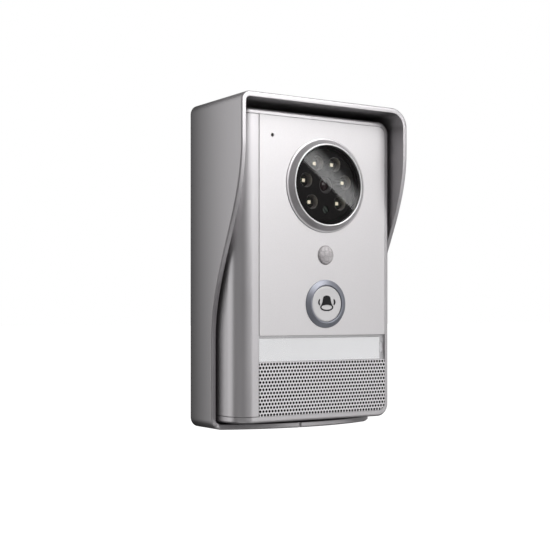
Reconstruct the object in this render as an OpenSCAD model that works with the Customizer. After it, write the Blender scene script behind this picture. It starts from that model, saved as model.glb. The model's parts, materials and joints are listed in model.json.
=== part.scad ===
// Outdoor video door station in a rain hood, for fixing to a wall.
// Frame: the origin is the centre of the hood's back face, +X right, +Y into the wall, +Z up.
// Depths are distances from the wall, so a depth of 30 lies at Y = -30.

/* [Rain hood] */
// Width of the hood
hood_w = 92.4; // [86:0.1:112]
// Height of the hood
hood_h = 150; // [146:0.5:184]
// Depth of the hood at its top
hood_d = 45.9; // [43:0.1:56]
// Wall of the hood's sides, top and bottom
hood_wall = 2.4; // [1.6:0.1:3]
// Thickness of the hood's back plate
hood_back = 2; // [1.4:0.1:3]
// Corner radius on the left side
hood_r_left = 4.5; // [3.5:0.1:10]
// Corner radius on the right side
hood_r_right = 9; // [4:0.1:12]
// Depth of the sides below the sweep
hood_low_d = 19.5; // [16:0.1:26]
// Distance from the hood's top to the start of the sweep
sweep_drop = 21; // [12:0.5:30]
// Height of the sweep in the side edge
sweep_h = 88; // [60:1:110]
// Depth of the bottom lip at its middle
lip_reach = 31.2; // [26:0.1:35]
// Diameter of the drain notch in the lip
drain_d = 1.6; // [1:0.1:3]
// Offset of the drain notch from the middle
drain_x = -5.5; // [-20:0.5:20]

/* [Body] */
// Gap between the body and the hood's side walls
side_gap = 1.25; // [0.8:0.05:4]
// Gap between the body and the hood's top wall
top_gap = 2.9; // [1:0.1:5]
// Gap between the body and the hood's bottom wall
bottom_gap = 1.2; // [0.8:0.1:4]
// How far the body's front stands back from the hood's front edge
front_setback = 9.8; // [6:0.1:14]
// Wall of the rear case and of the housing
case_wall = 2; // [1.6:0.1:2.5]
// Depth at which the rear case meets the housing
split_d = 14; // [12:0.5:16]
// Radius of the left spine, seen from above
spine_r = 8.6; // [6:0.1:12]
// Flat strip of the spine beside the front panel
spine_flat = 3; // [1:0.1:8]
// Wall of the spine cover
spine_wall = 1.4; // [1:0.1:2]
// Corner radius of the body's right side
body_r_right = 6; // [4:0.1:9]
// Corner radius of the body's left side
body_r_left = 2.5; // [1:0.1:4]
// Lip of the housing above the front panel
lip_top = 2.3; // [1.5:0.1:4]
// Lip of the housing below the grille
lip_bottom = 2.8; // [1.5:0.1:4]
// Lip of the housing right of the front panel
lip_right = 2; // [1.5:0.1:4]
// Seam between the plates and the housing
seam = 0.15; // [0.1:0.05:0.4]
// Clearance between pieces that are put together by hand
fit_gap = 0.1; // [0.05:0.05:0.3]

/* [Front plates] */
// Thickness of the front panel
panel_t = 1.2; // [0.8:0.1:2]
// Thickness of the housing's web behind the panel
web_t = 1.8; // [1.2:0.1:3]
// Corner radius of the plates, on the right
panel_r = 4; // [2:0.1:6]
// Height of the speaker grille
grille_h = 24.4; // [22:0.1:30]
// Height of the nameplate
name_h = 12; // [9:0.1:18]

/* [Camera] */
// Distance from the top of the front panel to the camera's centre
camera_drop = 30.1; // [25:0.1:36]
// Offset of the camera, sensor and button from the panel's middle
axis_shift = 0.65; // [-4:0.05:4]
// Diameter of the window
window_d = 36.6; // [32:0.1:44]
// Thickness of the window
window_t = 1.6; // [1:0.1:2.5]
// Width of the trim ring round the window
trim_w = 0.8; // [0.5:0.1:2]
// Width of the sloping face of the bezel
bezel_slope = 2.8; // [2:0.1:4]
// Height of the bezel over the front panel
bezel_rise = 2.9; // [2:0.1:5]
// Wall of the skirt that passes through the panel
skirt_wall = 1.5; // [1:0.1:2]
// Radius on which the LEDs and the light sensor stand
led_circle_r = 11.2; // [10.5:0.1:12.5]
// Diameter of an LED
led_d = 5; // [3:0.1:5.4]
// Diameter of the mouth of an LED's cup
cup_d = 6.7; // [5.5:0.1:7.4]
// Diameter of the light sensor
light_sensor_d = 3.6; // [2:0.1:5]
// Diameter of the lens barrel's nose
nose_d = 7.5; // [5:0.1:9]
// Diameter of the lens barrel's thread
barrel_d = 12; // [10:0.1:14]

/* [Motion sensor] */
// Distance from the camera's centre down to the motion sensor
pir_drop = 32.4; // [28:0.1:38]
// Diameter of the sensor's lens
pir_d = 8.8; // [7:0.1:12]
// Height of the lens over the panel
pir_rise = 1.6; // [0.8:0.1:3]
// Wall of the lens
pir_wall = 0.7; // [0.4:0.1:1]

/* [Call button] */
// Distance from the nameplate up to the button's centre
button_rise = 14.5; // [12:0.1:20]
// Diameter of the cap
cap_d = 16.6; // [14:0.1:20]
// Running clearance round the cap
cap_gap = 0.1; // [0.05:0.01:0.2]
// Outer diameter of the button ring
ring_d = 22.4; // [19:0.1:26]
// Height of the ring over the front panel
ring_rise = 1.4; // [0.8:0.1:2.5]
// Height of the cap over the front panel
cap_rise = 1; // [0.5:0.1:2]
// Travel of the cap
cap_travel = 0.8; // [0.4:0.1:1.5]
// Height of the bell symbol
bell_h = 7.2; // [5:0.1:9]
// Thickness of the bell symbol
bell_t = 0.1; // [0.05:0.05:0.3]
// Diameter of the switch plunger
plunger_d = 3.5; // [2.5:0.1:4]
// Running clearance of the plunger in the switch
plunger_gap = 0.05; // [0.02:0.01:0.1]

/* [Nameplate] */
// Width of the ledge that carries the nameplate window
name_ledge = 1.1; // [0.8:0.1:2]
// Thickness of the name card
name_card_t = 0.5; // [0.3:0.1:1]
// Thickness of the light guide
guide_t = 2.9; // [2:0.1:4]
// Width of a clip leg of the window
clip_w = 5; // [3:0.1:8]
// Thickness of a clip leg
clip_t = 1.4; // [1:0.1:2]
// Length of a clip leg behind the window
clip_len = 4; // [2:0.1:6]
// Width of the finger notch at the window's right end
notch_w = 4; // [2:0.1:6]

/* [Speaker and microphone] */
// Thickness of the grille plate
grille_t = 0.8; // [0.5:0.1:1]
// Distance between the grille's holes, across and down
hole_pitch = 1.63; // [1.4:0.01:2.4]
// Diameter of a grille hole
hole_d = 0.85; // [0.6:0.01:1.1]
// Diameter of the speaker
speaker_d = 21; // [16:0.1:24]
// Depth of the speaker's frame
speaker_t = 5; // [3:0.1:8]
// Diameter of the speaker's magnet
magnet_d = 12; // [8:0.1:16]
// Distance from the seam to the microphone hole
mic_in = 7.05; // [6:0.1:14]
// Distance from the panel's top down to the microphone hole
mic_drop = 9; // [7:0.1:14]
// Diameter of the microphone hole in the panel
mic_hole_d = 1.3; // [0.8:0.1:2]
// Diameter of the microphone capsule
mic_d = 6; // [4:0.1:7]

/* [Boards] */
// Thickness of the main board
board_t = 1.6; // [1:0.1:2]
// Thickness of the small boards
small_board_t = 1.2; // [0.8:0.1:1.6]
// Space behind the main board
board_space = 8; // [7:0.1:10]
// Depth of the camera board's back
camera_board_d = 18.5; // [18.2:0.1:20]
// Depth of the control board's back
control_board_d = 22; // [20:0.1:23]

/* [Fasteners] */
// Diameter of the case screws and of the lock screw
case_screw_d = 3; // [2.5:0.1:3.5]
// Diameter of the board screws
board_screw_d = 2.4; // [2:0.1:2.6]
// Clearance of a screw in its hole
screw_gap = 0.05; // [0.02:0.01:0.15]

/* [Wall fixing] */
// Thickness of the wall bracket
bracket_t = 1.6; // [1:0.1:2]
// Gap between the bracket and the rear case
bracket_gap = 0.8; // [0.5:0.1:1.5]
// Distance between the two wall screws
wall_screw_pitch = 60; // [50:0.5:70]
// Diameter of the holes for the wall screws
wall_hole_d = 4.5; // [3.5:0.1:5.5]
// Diameter of the cable hole in the hood and the bracket
cable_hole_d = 16; // [12:0.1:20]
// Bore of the cable grommet
cable_d = 6.2; // [4:0.1:7.5]
// Height of the cable hole over the middle of the hood
cable_z = -12; // [-14:0.5:-10]

/* [Hidden] */
$fn = 64;
LED_ANGLES = [26, 80, 135, -26, -80, -135];

SILVER = [0.74, 0.74, 0.75];
DARK_SILVER = [0.55, 0.55, 0.57];
BLACK = [0.05, 0.05, 0.06];
BOARD_GREEN = [0.05, 0.30, 0.16];
STEEL = [0.66, 0.67, 0.69];
EPS = 0.01;

// The body inside the hood
body_x0 = -(hood_w / 2 - hood_wall - side_gap);
body_x1 = -body_x0;
body_z0 = -(hood_h / 2 - hood_wall - bottom_gap);
body_z1 = hood_h / 2 - hood_wall - top_gap;
front_d = hood_d - front_setback;

// The plates on the front
seam_x = body_x0 + spine_r + spine_flat;
panel_x1 = body_x1 - lip_right;
panel_z0 = body_z0 + lip_bottom;
panel_z1 = body_z1 - lip_top;
grille_z1 = panel_z0 + grille_h;
name_z1 = grille_z1 + name_h;
web_d = front_d - panel_t;
web_back_d = web_d - web_t;
axis_x = (seam_x + panel_x1) / 2 + axis_shift;
camera_z = panel_z1 - camera_drop;
pir_z = camera_z - pir_drop;
button_z = name_z1 + button_rise;

// The cavity of the housing and of the rear case
cavity_x0 = body_x0 + spine_wall + fit_gap + case_wall;
cavity_x1 = body_x1 - case_wall;
cavity_z0 = body_z0 + case_wall;
cavity_z1 = body_z1 - case_wall;
spine_foot_rise = 2.5;
spine_foot_d = split_d + spine_foot_rise;

// The rear case and the boards
bracket_d = hood_back + bracket_t;
rear_d = bracket_d + bracket_gap;
floor_d = rear_d + case_wall;
board_d = floor_d + board_space;
board_front_d = board_d + board_t;

// Case screws stand in the four corners
boss_wall = 1.7;
case_boss_r = case_screw_d / 2 + boss_wall;
case_boss_in = case_boss_r - 0.5;
case_screw_xs = [cavity_x0 + case_boss_in, cavity_x1 - case_boss_in];
case_screw_zs = [cavity_z0 + case_boss_in, cavity_z1 - case_boss_in];
case_head_r = case_screw_d / 2 + 1.25;
case_head_h = 2.4;
case_head_d = rear_d + 4.6;
case_screw_bite = 8;

// Board screws stand in the corners of the main board
board_edge_gap = 1.5;
board_x0 = cavity_x0 + board_edge_gap;
board_x1 = cavity_x1 - board_edge_gap;
board_z0 = case_screw_zs[0] + case_boss_r + board_edge_gap;
board_z1 = case_screw_zs[1] - case_boss_r - board_edge_gap;
board_screw_in = 4;
board_screw_xs = [board_x0 + board_screw_in, board_x1 - board_screw_in];
board_screw_zs = [board_z0 + board_screw_in, board_z1 - board_screw_in];
board_head_r = board_screw_d / 2 + 0.9;
board_head_h = 1.5;
board_boss_r = board_screw_d / 2 + 1.4;

// Radii of the camera assembly, from the window outwards
window_r = window_d / 2;
trim_in_r = window_r + fit_gap / 2;
trim_out_r = trim_in_r + trim_w;
bezel_in_r = trim_out_r + fit_gap / 2;
bezel_base_r = bezel_in_r + bezel_slope;
skirt_r = bezel_base_r - 1;
ledge_r = window_r - 1.7;
mask_r = ledge_r - 0.2;
// Depths of the camera assembly, from its face back to the LED board
bezel_face_d = front_d + bezel_rise;
window_recess = 0.3;
window_face_d = bezel_face_d - window_recess;
window_back_d = window_face_d - window_t;
gasket_t = 0.5;
ledge_d = window_back_d - gasket_t;
ledge_t = 1.2;
mask_d = ledge_d - 0.2;
led_room = 4.2;
led_board_d = ledge_d - ledge_t - led_room;
led_board_back_d = led_board_d - small_board_t;
collar_wall = 1.5;
led_flange_r = led_d / 2 + 0.4;
led_flange_t = 1;
led_tip_d = mask_d - 0.4;
// The lens
nose_r = nose_d / 2;
nose_face_d = mask_d - 0.5;
barrel_r = barrel_d / 2;
barrel_top_d = led_board_back_d - 0.6;
camera_front_d = camera_board_d + small_board_t;
holder_size = barrel_d + 3;
holder_top_d = barrel_top_d - 2;
camera_post_x = bezel_base_r + collar_wall + 1.5;
camera_board_h = 22;
post_r = 2.5;

// The motion sensor
pir_r = pir_d / 2;
pir_flange_r = pir_r + 1.1;
pir_ball_r = (pir_r * pir_r + pir_rise * pir_rise) / (2 * pir_rise);
pir_can_r = 4.4;
pir_can_h = 4.2;

// The call button
cap_r = cap_d / 2;
ring_in_r = cap_r + cap_gap;
ring_skirt_share = 17 / 28; // of the ring's width
ring_skirt_r = ring_in_r + (ring_d / 2 - ring_in_r) * ring_skirt_share;
ring_skirt_d = web_back_d - 1.2;
cap_flange_r = ring_in_r + 1.3;
cap_flange_t = 1.2;
cap_flange_d = ring_skirt_d - fit_gap / 2 - cap_flange_t;
cap_face_d = front_d + cap_rise;
control_front_d = control_board_d + small_board_t;
switch_h = 3.5;
switch_size = 6;
plunger_r = plunger_d / 2;
plunger_top_d = control_front_d + switch_h + 2;
plunger_foot_d = control_front_d + 2;
stem_r = plunger_r + 0.6;
control_post_x = 10.5;
control_mid_z = (pir_z + button_z) / 2;

// The nameplate
name_x0 = seam_x + name_ledge;
name_x1 = panel_x1 - name_ledge;
name_z0 = grille_z1;
name_mid_z = (name_z0 + name_z1) / 2;
card_x0 = name_x0 + clip_t + 3 * fit_gap;
card_x1 = name_x1 - clip_t - 3 * fit_gap;
card_d = web_d - name_card_t;
guide_d = card_d - guide_t;
name_face_d = front_d - seam;
notch_len = 2.6;
backlight_count = 4;
backlight_led_t = 1.4;
backlight_d = guide_d - backlight_led_t;
backlight_board_t = 0.8;

// The speaker and the grille
speaker_x = (seam_x + panel_x1) / 2;
speaker_z = (panel_z0 + grille_z1) / 2;
speaker_r = speaker_d / 2;
speaker_ring_wall = 1.2;
speaker_gasket_t = 0.6;
speaker_rim_w = 1.8;
speaker_face_d = web_back_d - speaker_gasket_t;
grille_back_d = front_d - grille_t;
grille_edge = 0.8;
grille_left_edge = 0.55;
grille_rows = round((grille_h - 2 * grille_edge) / hole_pitch) + 1;
grille_cols = floor((panel_x1 - seam_x - grille_left_edge - grille_edge) / hole_pitch) + 1;
mic_x = seam_x + mic_in;
mic_z = panel_z1 - mic_drop;
mic_r = mic_d / 2;
mic_t = 3.3;
mic_boot_wall = 1.5;
mic_front_d = web_back_d - 1.2;

// The wall fixing
hook_x = 18;
hook_w = 8;
hook_h = 5.5;
hook_z = wall_screw_pitch / 2 + 14;
hook_t = 1.2;
hook_stem_t = 1.6;
pocket_wall = 1.2;
pocket_d = floor_d + 2.4;
screw_pocket_r = wall_hole_d / 2 + 3;
lock_d = (rear_d + split_d) / 2 + 0.8;
lock_head_h = 1.6;
lock_head_r = case_screw_d / 2 + 1.2;
lock_len = 12;
grommet_r = cable_d / 2 + 2;
grommet_flange_r = grommet_r + 1.2;

// The terminal block on the back of the main board
terminal_count = 4;
terminal_pitch = 5;
terminal_h = 9;
terminal_top_z = -wall_screw_pitch / 2 - screw_pocket_r - pocket_wall - 2;
terminal_near_d = floor_d + 0.4;
terminal_screw_r = 1.6;
terminal_screw_t = 1.6;
terminal_screw_z = terminal_top_z - 5;

// ---- Outlines and solids that the pieces share ----

function arc(cx, cy, r, a0, a1, steps = 12) =
    [for (i = [0:steps]) let (a = a0 + (a1 - a0) * i / steps) [cx + r * cos(a), cy + r * sin(a)]];

// A rectangle whose corner radii are given from the top right corner, anticlockwise
function rounded(x0, x1, z0, z1, r) = concat(
    arc(x1 - r[0], z1 - r[0], r[0], 0, 90),
    arc(x0 + r[1], z1 - r[1], r[1], 90, 180),
    arc(x0 + r[2], z0 + r[2], r[2], 180, 270),
    arc(x1 - r[3], z0 + r[3], r[3], 270, 360));

function hood_outline(inset) =
    let (r = hood_r_right - inset, l = hood_r_left - inset, x = hood_w / 2 - inset, z = hood_h / 2 - inset)
    rounded(-x, x, -z, z, [r, l, l, r]);

function body_outline(inset) =
    let (r = body_r_right - inset, l = max(body_r_left - inset, 0.3))
    rounded(body_x0 + inset, body_x1 - inset, body_z0 + inset, body_z1 - inset, [r, l, l, r]);

// The body seen from above, with the round of its left spine
function body_plan(inset, front) = concat(
    [[body_x1 + 1, 1], [body_x1 + 1, -front]],
    front > front_d - inset + EPS ? [[body_x0 + spine_r, -front]] : [],
    arc(body_x0 + spine_r, spine_r - front_d, spine_r - inset, -90, -180),
    [[body_x0 + inset, 1]]);

// How far the hood's side edge stands back from its front at height z
function sweep(z) =
    let (start = hood_h / 2 - sweep_drop, share = min(max((start - z) / sweep_h, 0), 1))
    (hood_d - hood_low_d) * (1 - cos(180 * share)) / 2;

// Extrudes a front view from one depth to another
module slab(near, far) {
    translate([0, -near, 0]) rotate([90, 0, 0]) linear_extrude(far - near) children();
}

// Extrudes a plan view over the whole height of the hood
module column() {
    translate([0, 0, -hood_h]) linear_extrude(2 * hood_h) children();
}

// Turns a profile of [radius, depth] points about a front-to-back axis
module turned(x, z, points) {
    translate([x, 0, z]) rotate([90, 0, 0]) rotate_extrude() polygon(points);
}

module disc(x, z, r, near, far) {
    translate([x, 0, z]) slab(near, far) circle(r);
}

module tube(x, z, r_out, r_in, near, far) {
    translate([x, 0, z]) slab(near, far) difference() {
        circle(r_out);
        circle(r_in);
    }
}

module block(x0, x1, z0, z1, near, far) {
    translate([x0, -far, z0]) cube([x1 - x0, far - near, z1 - z0]);
}

module at_corners(xs, zs) {
    for (x = xs, z = zs) translate([x, 0, z]) children();
}

// A screw along the depth: its head lies between head_d and head_d plus head_h
module screw(x, z, r, head_r, tip_d, head_d, head_h, head_at_front) {
    slot_d = head_at_front ? head_d + head_h / 2 : head_d;
    difference() {
        union() {
            disc(x, z, r, min(tip_d, head_d), max(tip_d, head_d));
            disc(x, z, head_r, head_d, head_d + head_h);
        }
        for (half = [[head_r * 0.6, 0.3], [0.3, head_r * 0.6]])
            block(x - half[0], x + half[0], z - half[1], z + half[1], slot_d - EPS, slot_d + head_h / 2 + EPS);
    }
}

// ---- The hood and the wall fixing ----

module rain_hood() color(SILVER) {
    lip_rise = lip_reach - hood_low_d;
    lip_r = (hood_w * hood_w / 4 + lip_rise * lip_rise) / (2 * lip_rise);
    steps = 24;
    start = hood_h / 2 - sweep_drop;
    edge = [for (i = [0:steps]) let (z = start - sweep_h * (1 - i / steps)) [sweep(z) - hood_d, z]];
    drain_y = -(lip_reach - lip_r + sqrt(lip_r * lip_r - drain_x * drain_x));
    difference() {
        intersection() {
            difference() {
                slab(0, hood_d) polygon(hood_outline(0));
                slab(hood_back, hood_d + 1) polygon(hood_outline(hood_wall));
            }
            union() {
                // The sides, swept back from the canopy to the low depth
                rotate([90, 0, 90]) translate([0, 0, -hood_w]) linear_extrude(2 * hood_w) polygon(concat(
                    [[1, -hood_h], [-hood_low_d, -hood_h]], edge,
                    [[-hood_d - 1, start], [-hood_d - 1, hood_h], [1, hood_h]]));
                // The bottom lip, bowed forward
                translate([0, lip_r - lip_reach, -hood_h / 2 - 1]) cylinder(r = lip_r, h = hood_wall + 1, $fn = 128);
            }
        }
        wall_holes(-1, hood_back + 1);
        disc(0, cable_z, cable_hole_d / 2, -1, hood_back + 1);
        lock_hole(case_screw_d / 2 + 2 * fit_gap, -hood_h / 2 - 1, -hood_h / 2 + hood_wall + 1);
        lock_hole(lock_head_r + 2 * fit_gap, -hood_h / 2 - 1, -hood_h / 2 + lock_head_h + fit_gap);
        translate([drain_x, drain_y, -hood_h / 2 - 1]) cylinder(d = drain_d, h = hood_wall + 2);
    }
}

module wall_holes(near, far) {
    for (side = [-1, 1]) disc(0, side * wall_screw_pitch / 2, wall_hole_d / 2, near, far);
}

module lock_hole(r, z0, z1) {
    translate([0, -lock_d, z0]) cylinder(r = r, h = z1 - z0);
}

module wall_bracket() color(STEEL) {
    margin = 7;
    difference() {
        block(-hook_x - hook_w, hook_x + hook_w, -wall_screw_pitch / 2 - margin - 5, hook_z + margin, hood_back,
            bracket_d);
        wall_holes(0, bracket_d + 1);
        disc(0, cable_z, cable_hole_d / 2, 0, bracket_d + 1);
    }
    // Two hooks that the rear case hangs on
    for (side = [-1, 1]) {
        x0 = side * hook_x - hook_w / 2;
        lip_d = floor_d + 0.5;
        block(x0, x0 + hook_w, hook_z, hook_z + hook_stem_t, bracket_d - EPS, lip_d + hook_t);
        block(x0, x0 + hook_w, hook_z, hook_z + hook_h, lip_d, lip_d + hook_t);
    }
}

module lock_screw() color(STEEL) {
    z0 = -hood_h / 2 + fit_gap;
    difference() {
        union() {
            lock_hole(lock_head_r, z0, z0 + lock_head_h - fit_gap);
            lock_hole(case_screw_d / 2, z0 + lock_head_h - 2 * fit_gap, z0 + lock_len);
        }
        translate([0, -lock_d, z0 - EPS]) cylinder(r = lock_head_r * 0.55, h = lock_head_h / 2, $fn = 6);
    }
}

// ---- The rear case ----

module case_rim(inset) {
    polygon(body_outline(inset));
}

module rear_case() color(DARK_SILVER) {
    seal_inset = 0.5;
    lock_boss_w = case_screw_d + 4;
    difference() {
        union() {
            difference() {
                slab(rear_d, split_d) case_rim(0);
                slab(floor_d, split_d + 1) case_rim(case_wall);
            }
            at_corners(case_screw_xs, case_screw_zs) slab(floor_d - EPS, split_d) circle(case_boss_r);
            at_corners(board_screw_xs, board_screw_zs) slab(floor_d - EPS, board_d) circle(board_boss_r);
            for (side = [-1, 1]) {
                disc(0, side * wall_screw_pitch / 2, screw_pocket_r + pocket_wall, floor_d - EPS,
                    pocket_d + pocket_wall);
                hook_pocket(side, pocket_wall, floor_d - EPS, pocket_d + pocket_wall);
            }
            block(-lock_boss_w / 2, lock_boss_w / 2, body_z0 + EPS, body_z0 + lock_len - 1, floor_d - EPS,
                split_d - 1);
        }
        at_corners(case_screw_xs, case_screw_zs) {
            slab(rear_d - 1, split_d + 1) circle(case_screw_d / 2 + 2 * fit_gap);
            slab(rear_d - 1, case_head_d) circle(case_head_r + 2 * fit_gap);
        }
        at_corners(board_screw_xs, board_screw_zs)
            slab(floor_d + 1, board_d + 1) circle(board_screw_d / 2 + screw_gap);
        for (side = [-1, 1]) {
            disc(0, side * wall_screw_pitch / 2, screw_pocket_r, rear_d - 1, pocket_d);
            hook_pocket(side, 0, rear_d - 1, pocket_d);
        }
        disc(0, cable_z, grommet_r, rear_d - 1, floor_d + 1);
        lock_hole(case_screw_d / 2 + screw_gap, body_z0 - 1, body_z0 + lock_len - 2);
        // Groove for the seal
        slab(split_d - seal_t(), split_d + 1) difference() {
            case_rim(seal_inset);
            case_rim(case_wall - seal_inset);
        }
    }
}

function seal_t() = 0.9;

module hook_pocket(side, grow, near, far) {
    play = 0.6;
    x = side * hook_x;
    half = hook_w / 2 + play + grow;
    block(x - half, x + half, hook_z - play - grow, hook_z + hook_h + play + grow, near, far);
}

module case_seal() color(BLACK) {
    inset = 0.5;
    slab(split_d - seal_t(), split_d) difference() {
        case_rim(inset + fit_gap / 2);
        case_rim(case_wall - inset - fit_gap / 2);
    }
}

module case_screws() color(STEEL) {
    for (x = case_screw_xs, z = case_screw_zs)
        screw(x, z, case_screw_d / 2, case_head_r, split_d + case_screw_bite, case_head_d - case_head_h,
            case_head_h, false);
}

module cable_grommet() color(BLACK) {
    lip = 1;
    turned(0, cable_z, [
        [cable_d / 2, rear_d - bracket_gap + fit_gap], [grommet_flange_r, rear_d - bracket_gap + fit_gap],
        [grommet_flange_r, rear_d], [grommet_r, rear_d], [grommet_r, floor_d],
        [grommet_flange_r, floor_d], [grommet_flange_r, floor_d + lip], [cable_d / 2, floor_d + lip]]);
}

// ---- The housing and its plates ----

module housing() color(SILVER) {
    inner = spine_wall + fit_gap + case_wall;
    difference() {
        union() {
            difference() {
                body_shell(0, split_d, front_d);
                intersection() {
                    slab(split_d - 1, web_back_d)
                        polygon(rounded(cavity_x0, cavity_x1, cavity_z0, cavity_z1, [3, 1, 1, 3]));
                    column() polygon(body_plan(inner, web_back_d));
                }
            }
            at_corners(case_screw_xs, case_screw_zs) slab(split_d, web_back_d + EPS) circle(case_boss_r);
            tube(axis_x, camera_z, skirt_r + fit_gap + collar_wall, skirt_r, led_board_back_d, web_back_d + EPS);
            for (side = [-1, 1]) {
                disc(axis_x + side * camera_post_x, camera_z, post_r, camera_front_d, web_back_d + EPS);
                disc(axis_x + side * control_post_x, control_mid_z, post_r, control_front_d, web_back_d + EPS);
            }
            tube(speaker_x, speaker_z, speaker_r + fit_gap + speaker_ring_wall, speaker_r - EPS,
                speaker_face_d - speaker_t, web_back_d + EPS);
        }
        // Recesses for the spine cover and the plates
        intersection() {
            block(body_x0 - 1, seam_x, panel_z0, panel_z1, spine_foot_d, front_d + 1);
            difference() {
                block(body_x0 - 1, seam_x + 1, -hood_h, hood_h, 0, front_d + 2);
                column() polygon(body_plan(spine_wall + fit_gap, front_d - spine_wall - fit_gap));
            }
        }
        slab(web_d, front_d + 1)
            polygon(rounded(seam_x - EPS, panel_x1, panel_z0, panel_z1, [panel_r, 0.1, 0.1, panel_r]));
        // Openings in the web
        disc(axis_x, camera_z, skirt_r + fit_gap, led_board_back_d - 1, web_d + 1);
        disc(axis_x, pir_z, pir_flange_r + fit_gap, web_back_d - 1, web_d + 1);
        disc(axis_x, button_z, ring_skirt_r + fit_gap, web_back_d - 1, web_d + 1);
        disc(mic_x, mic_z, mic_hole_d / 2, web_back_d - 1, web_d + 1);
        block(name_x0, name_x1, name_z0 + name_ledge, name_z1 - name_ledge, web_back_d - 1, web_d + 1);
        disc(speaker_x, speaker_z, speaker_r + fit_gap, speaker_face_d - speaker_t - 1, web_back_d - EPS);
        disc(speaker_x, speaker_z, speaker_r - speaker_rim_w - 2 * fit_gap, web_back_d - 1, web_d + 1);
        // Pilot holes
        at_corners(case_screw_xs, case_screw_zs)
            slab(split_d - 1, split_d + case_screw_bite + 1) circle(case_screw_d / 2 + screw_gap);
        for (side = [-1, 1]) {
            disc(axis_x + side * camera_post_x, camera_z, board_screw_d / 2 + screw_gap, camera_front_d - 1,
                camera_front_d + 6);
            disc(axis_x + side * control_post_x, control_mid_z, board_screw_d / 2 + screw_gap,
                control_front_d - 1, control_front_d + 6);
        }
    }
}

// The body's outer shape between two depths
module body_shell(inset, near, far) {
    intersection() {
        slab(near, far) polygon(body_outline(inset));
        column() polygon(body_plan(inset, front_d + 1));
    }
}

module spine_cover() color(SILVER) {
    intersection() {
        block(body_x0 - 1, seam_x - seam / 2, panel_z0 + seam, panel_z1 - seam, spine_foot_d + seam, front_d);
        difference() {
            column() polygon(body_plan(0, front_d));
            column() polygon(body_plan(spine_wall, front_d - spine_wall));
        }
    }
}

module front_panel() color(SILVER) {
    difference() {
        slab(web_d, front_d)
            polygon(rounded(seam_x + seam / 2, panel_x1 - seam, name_z1 + seam / 2, panel_z1 - seam,
                [panel_r - seam, 0.2, 0.2, 0.2]));
        disc(axis_x, camera_z, skirt_r + fit_gap, web_d - 1, front_d + 1);
        disc(axis_x, pir_z, pir_r + fit_gap / 2, web_d - 1, front_d + 1);
        disc(axis_x, button_z, ring_skirt_r + fit_gap, web_d - 1, front_d + 1);
        disc(mic_x, mic_z, mic_hole_d / 2, web_d - 1, front_d + 1);
    }
}

// ---- The camera ----

module camera_bezel() color(DARK_SILVER) {
    flat = 0.15;
    turned(axis_x, camera_z, [
        [bezel_base_r, front_d], [bezel_in_r + flat, bezel_face_d - flat], [bezel_in_r, bezel_face_d - flat],
        [bezel_in_r, ledge_d], [ledge_r, ledge_d], [ledge_r, ledge_d - ledge_t],
        [skirt_r - skirt_wall, ledge_d - ledge_t], [skirt_r - skirt_wall, led_board_d],
        [skirt_r, led_board_d], [skirt_r, front_d]]);
}

module window_trim_ring() color([0.9, 0.9, 0.9]) {
    tube(axis_x, camera_z, trim_out_r, trim_in_r, ledge_d, bezel_face_d);
}

module camera_window() color([0.03, 0.03, 0.04, 0.5]) {
    disc(axis_x, camera_z, window_r, window_back_d, window_face_d);
}

module window_gasket() color(BLACK) {
    tube(axis_x, camera_z, window_r - fit_gap, ledge_r + fit_gap, ledge_d, window_back_d);
}

// The place of an LED, counted clockwise from the top
function led_x(angle) = axis_x + led_circle_r * sin(angle);
function led_z(angle) = camera_z + led_circle_r * cos(angle);

module led_mask() color(BLACK) {
    throat_r = led_d / 2 + fit_gap;
    throat_d = mask_d - 3;
    difference() {
        disc(axis_x, camera_z, mask_r, led_board_d, mask_d);
        for (angle = LED_ANGLES)
            turned(led_x(angle), led_z(angle), [
                [0, led_board_d - 1], [led_flange_r + fit_gap, led_board_d - 1],
                [led_flange_r + fit_gap, led_board_d + led_flange_t + fit_gap],
                [throat_r, led_board_d + led_flange_t + fit_gap], [throat_r, throat_d],
                [cup_d / 2, mask_d], [cup_d / 2, mask_d + 1], [0, mask_d + 1]]);
        disc(led_x(180), led_z(180), light_sensor_d / 2 + fit_gap, led_board_d - 1, mask_d + 1);
        disc(axis_x, camera_z, nose_r + fit_gap, led_board_d - 1, mask_d + 1);
    }
}

module ir_led(i) color([0.93, 0.88, 0.8]) {
    angle = LED_ANGLES[i - 1];
    flange_face_d = led_board_d + led_flange_t;
    turned(led_x(angle), led_z(angle), concat(
        [[0, led_board_d], [led_flange_r, led_board_d], [led_flange_r, flange_face_d], [led_d / 2, flange_face_d]],
        arc(0, led_tip_d - led_d / 2, led_d / 2, 0, 90, 10)));
}

module light_sensor() color([0.25, 0.4, 0.35]) {
    disc(led_x(180), led_z(180), light_sensor_d / 2, led_board_d, mask_d - 0.6);
}

module led_board() color(BOARD_GREEN) {
    tube(axis_x, camera_z, skirt_r, nose_r + 0.3, led_board_back_d, led_board_d);
}

module lens_barrel() color(BLACK) {
    mouth_r = nose_r - 0.5;
    throat_r = nose_r - 1.3;
    throat_d = nose_face_d - 1.3;
    bore_r = 1.6;
    turned(axis_x, camera_z, [
        [bore_r, camera_front_d + 2], [barrel_r, camera_front_d + 2], [barrel_r, barrel_top_d],
        [nose_r, barrel_top_d], [nose_r, nose_face_d], [mouth_r, nose_face_d], [throat_r, throat_d],
        [throat_r, throat_d - 1.6], [bore_r, throat_d - 1.6]]);
}

module lens_glass() color([0.2, 0.25, 0.35, 0.6]) {
    r = nose_r - 1.3 - fit_gap / 2;
    seat_d = nose_face_d - 2.9;
    crown = 0.9;
    ball_r = (r * r + crown * crown) / (2 * crown);
    edge = asin(r / ball_r);
    turned(axis_x, camera_z, concat(
        [[0, seat_d], [r, seat_d]],
        arc(0, seat_d + 1.3 + crown - ball_r, ball_r, 90 - edge, 90, 8)));
}

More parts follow.
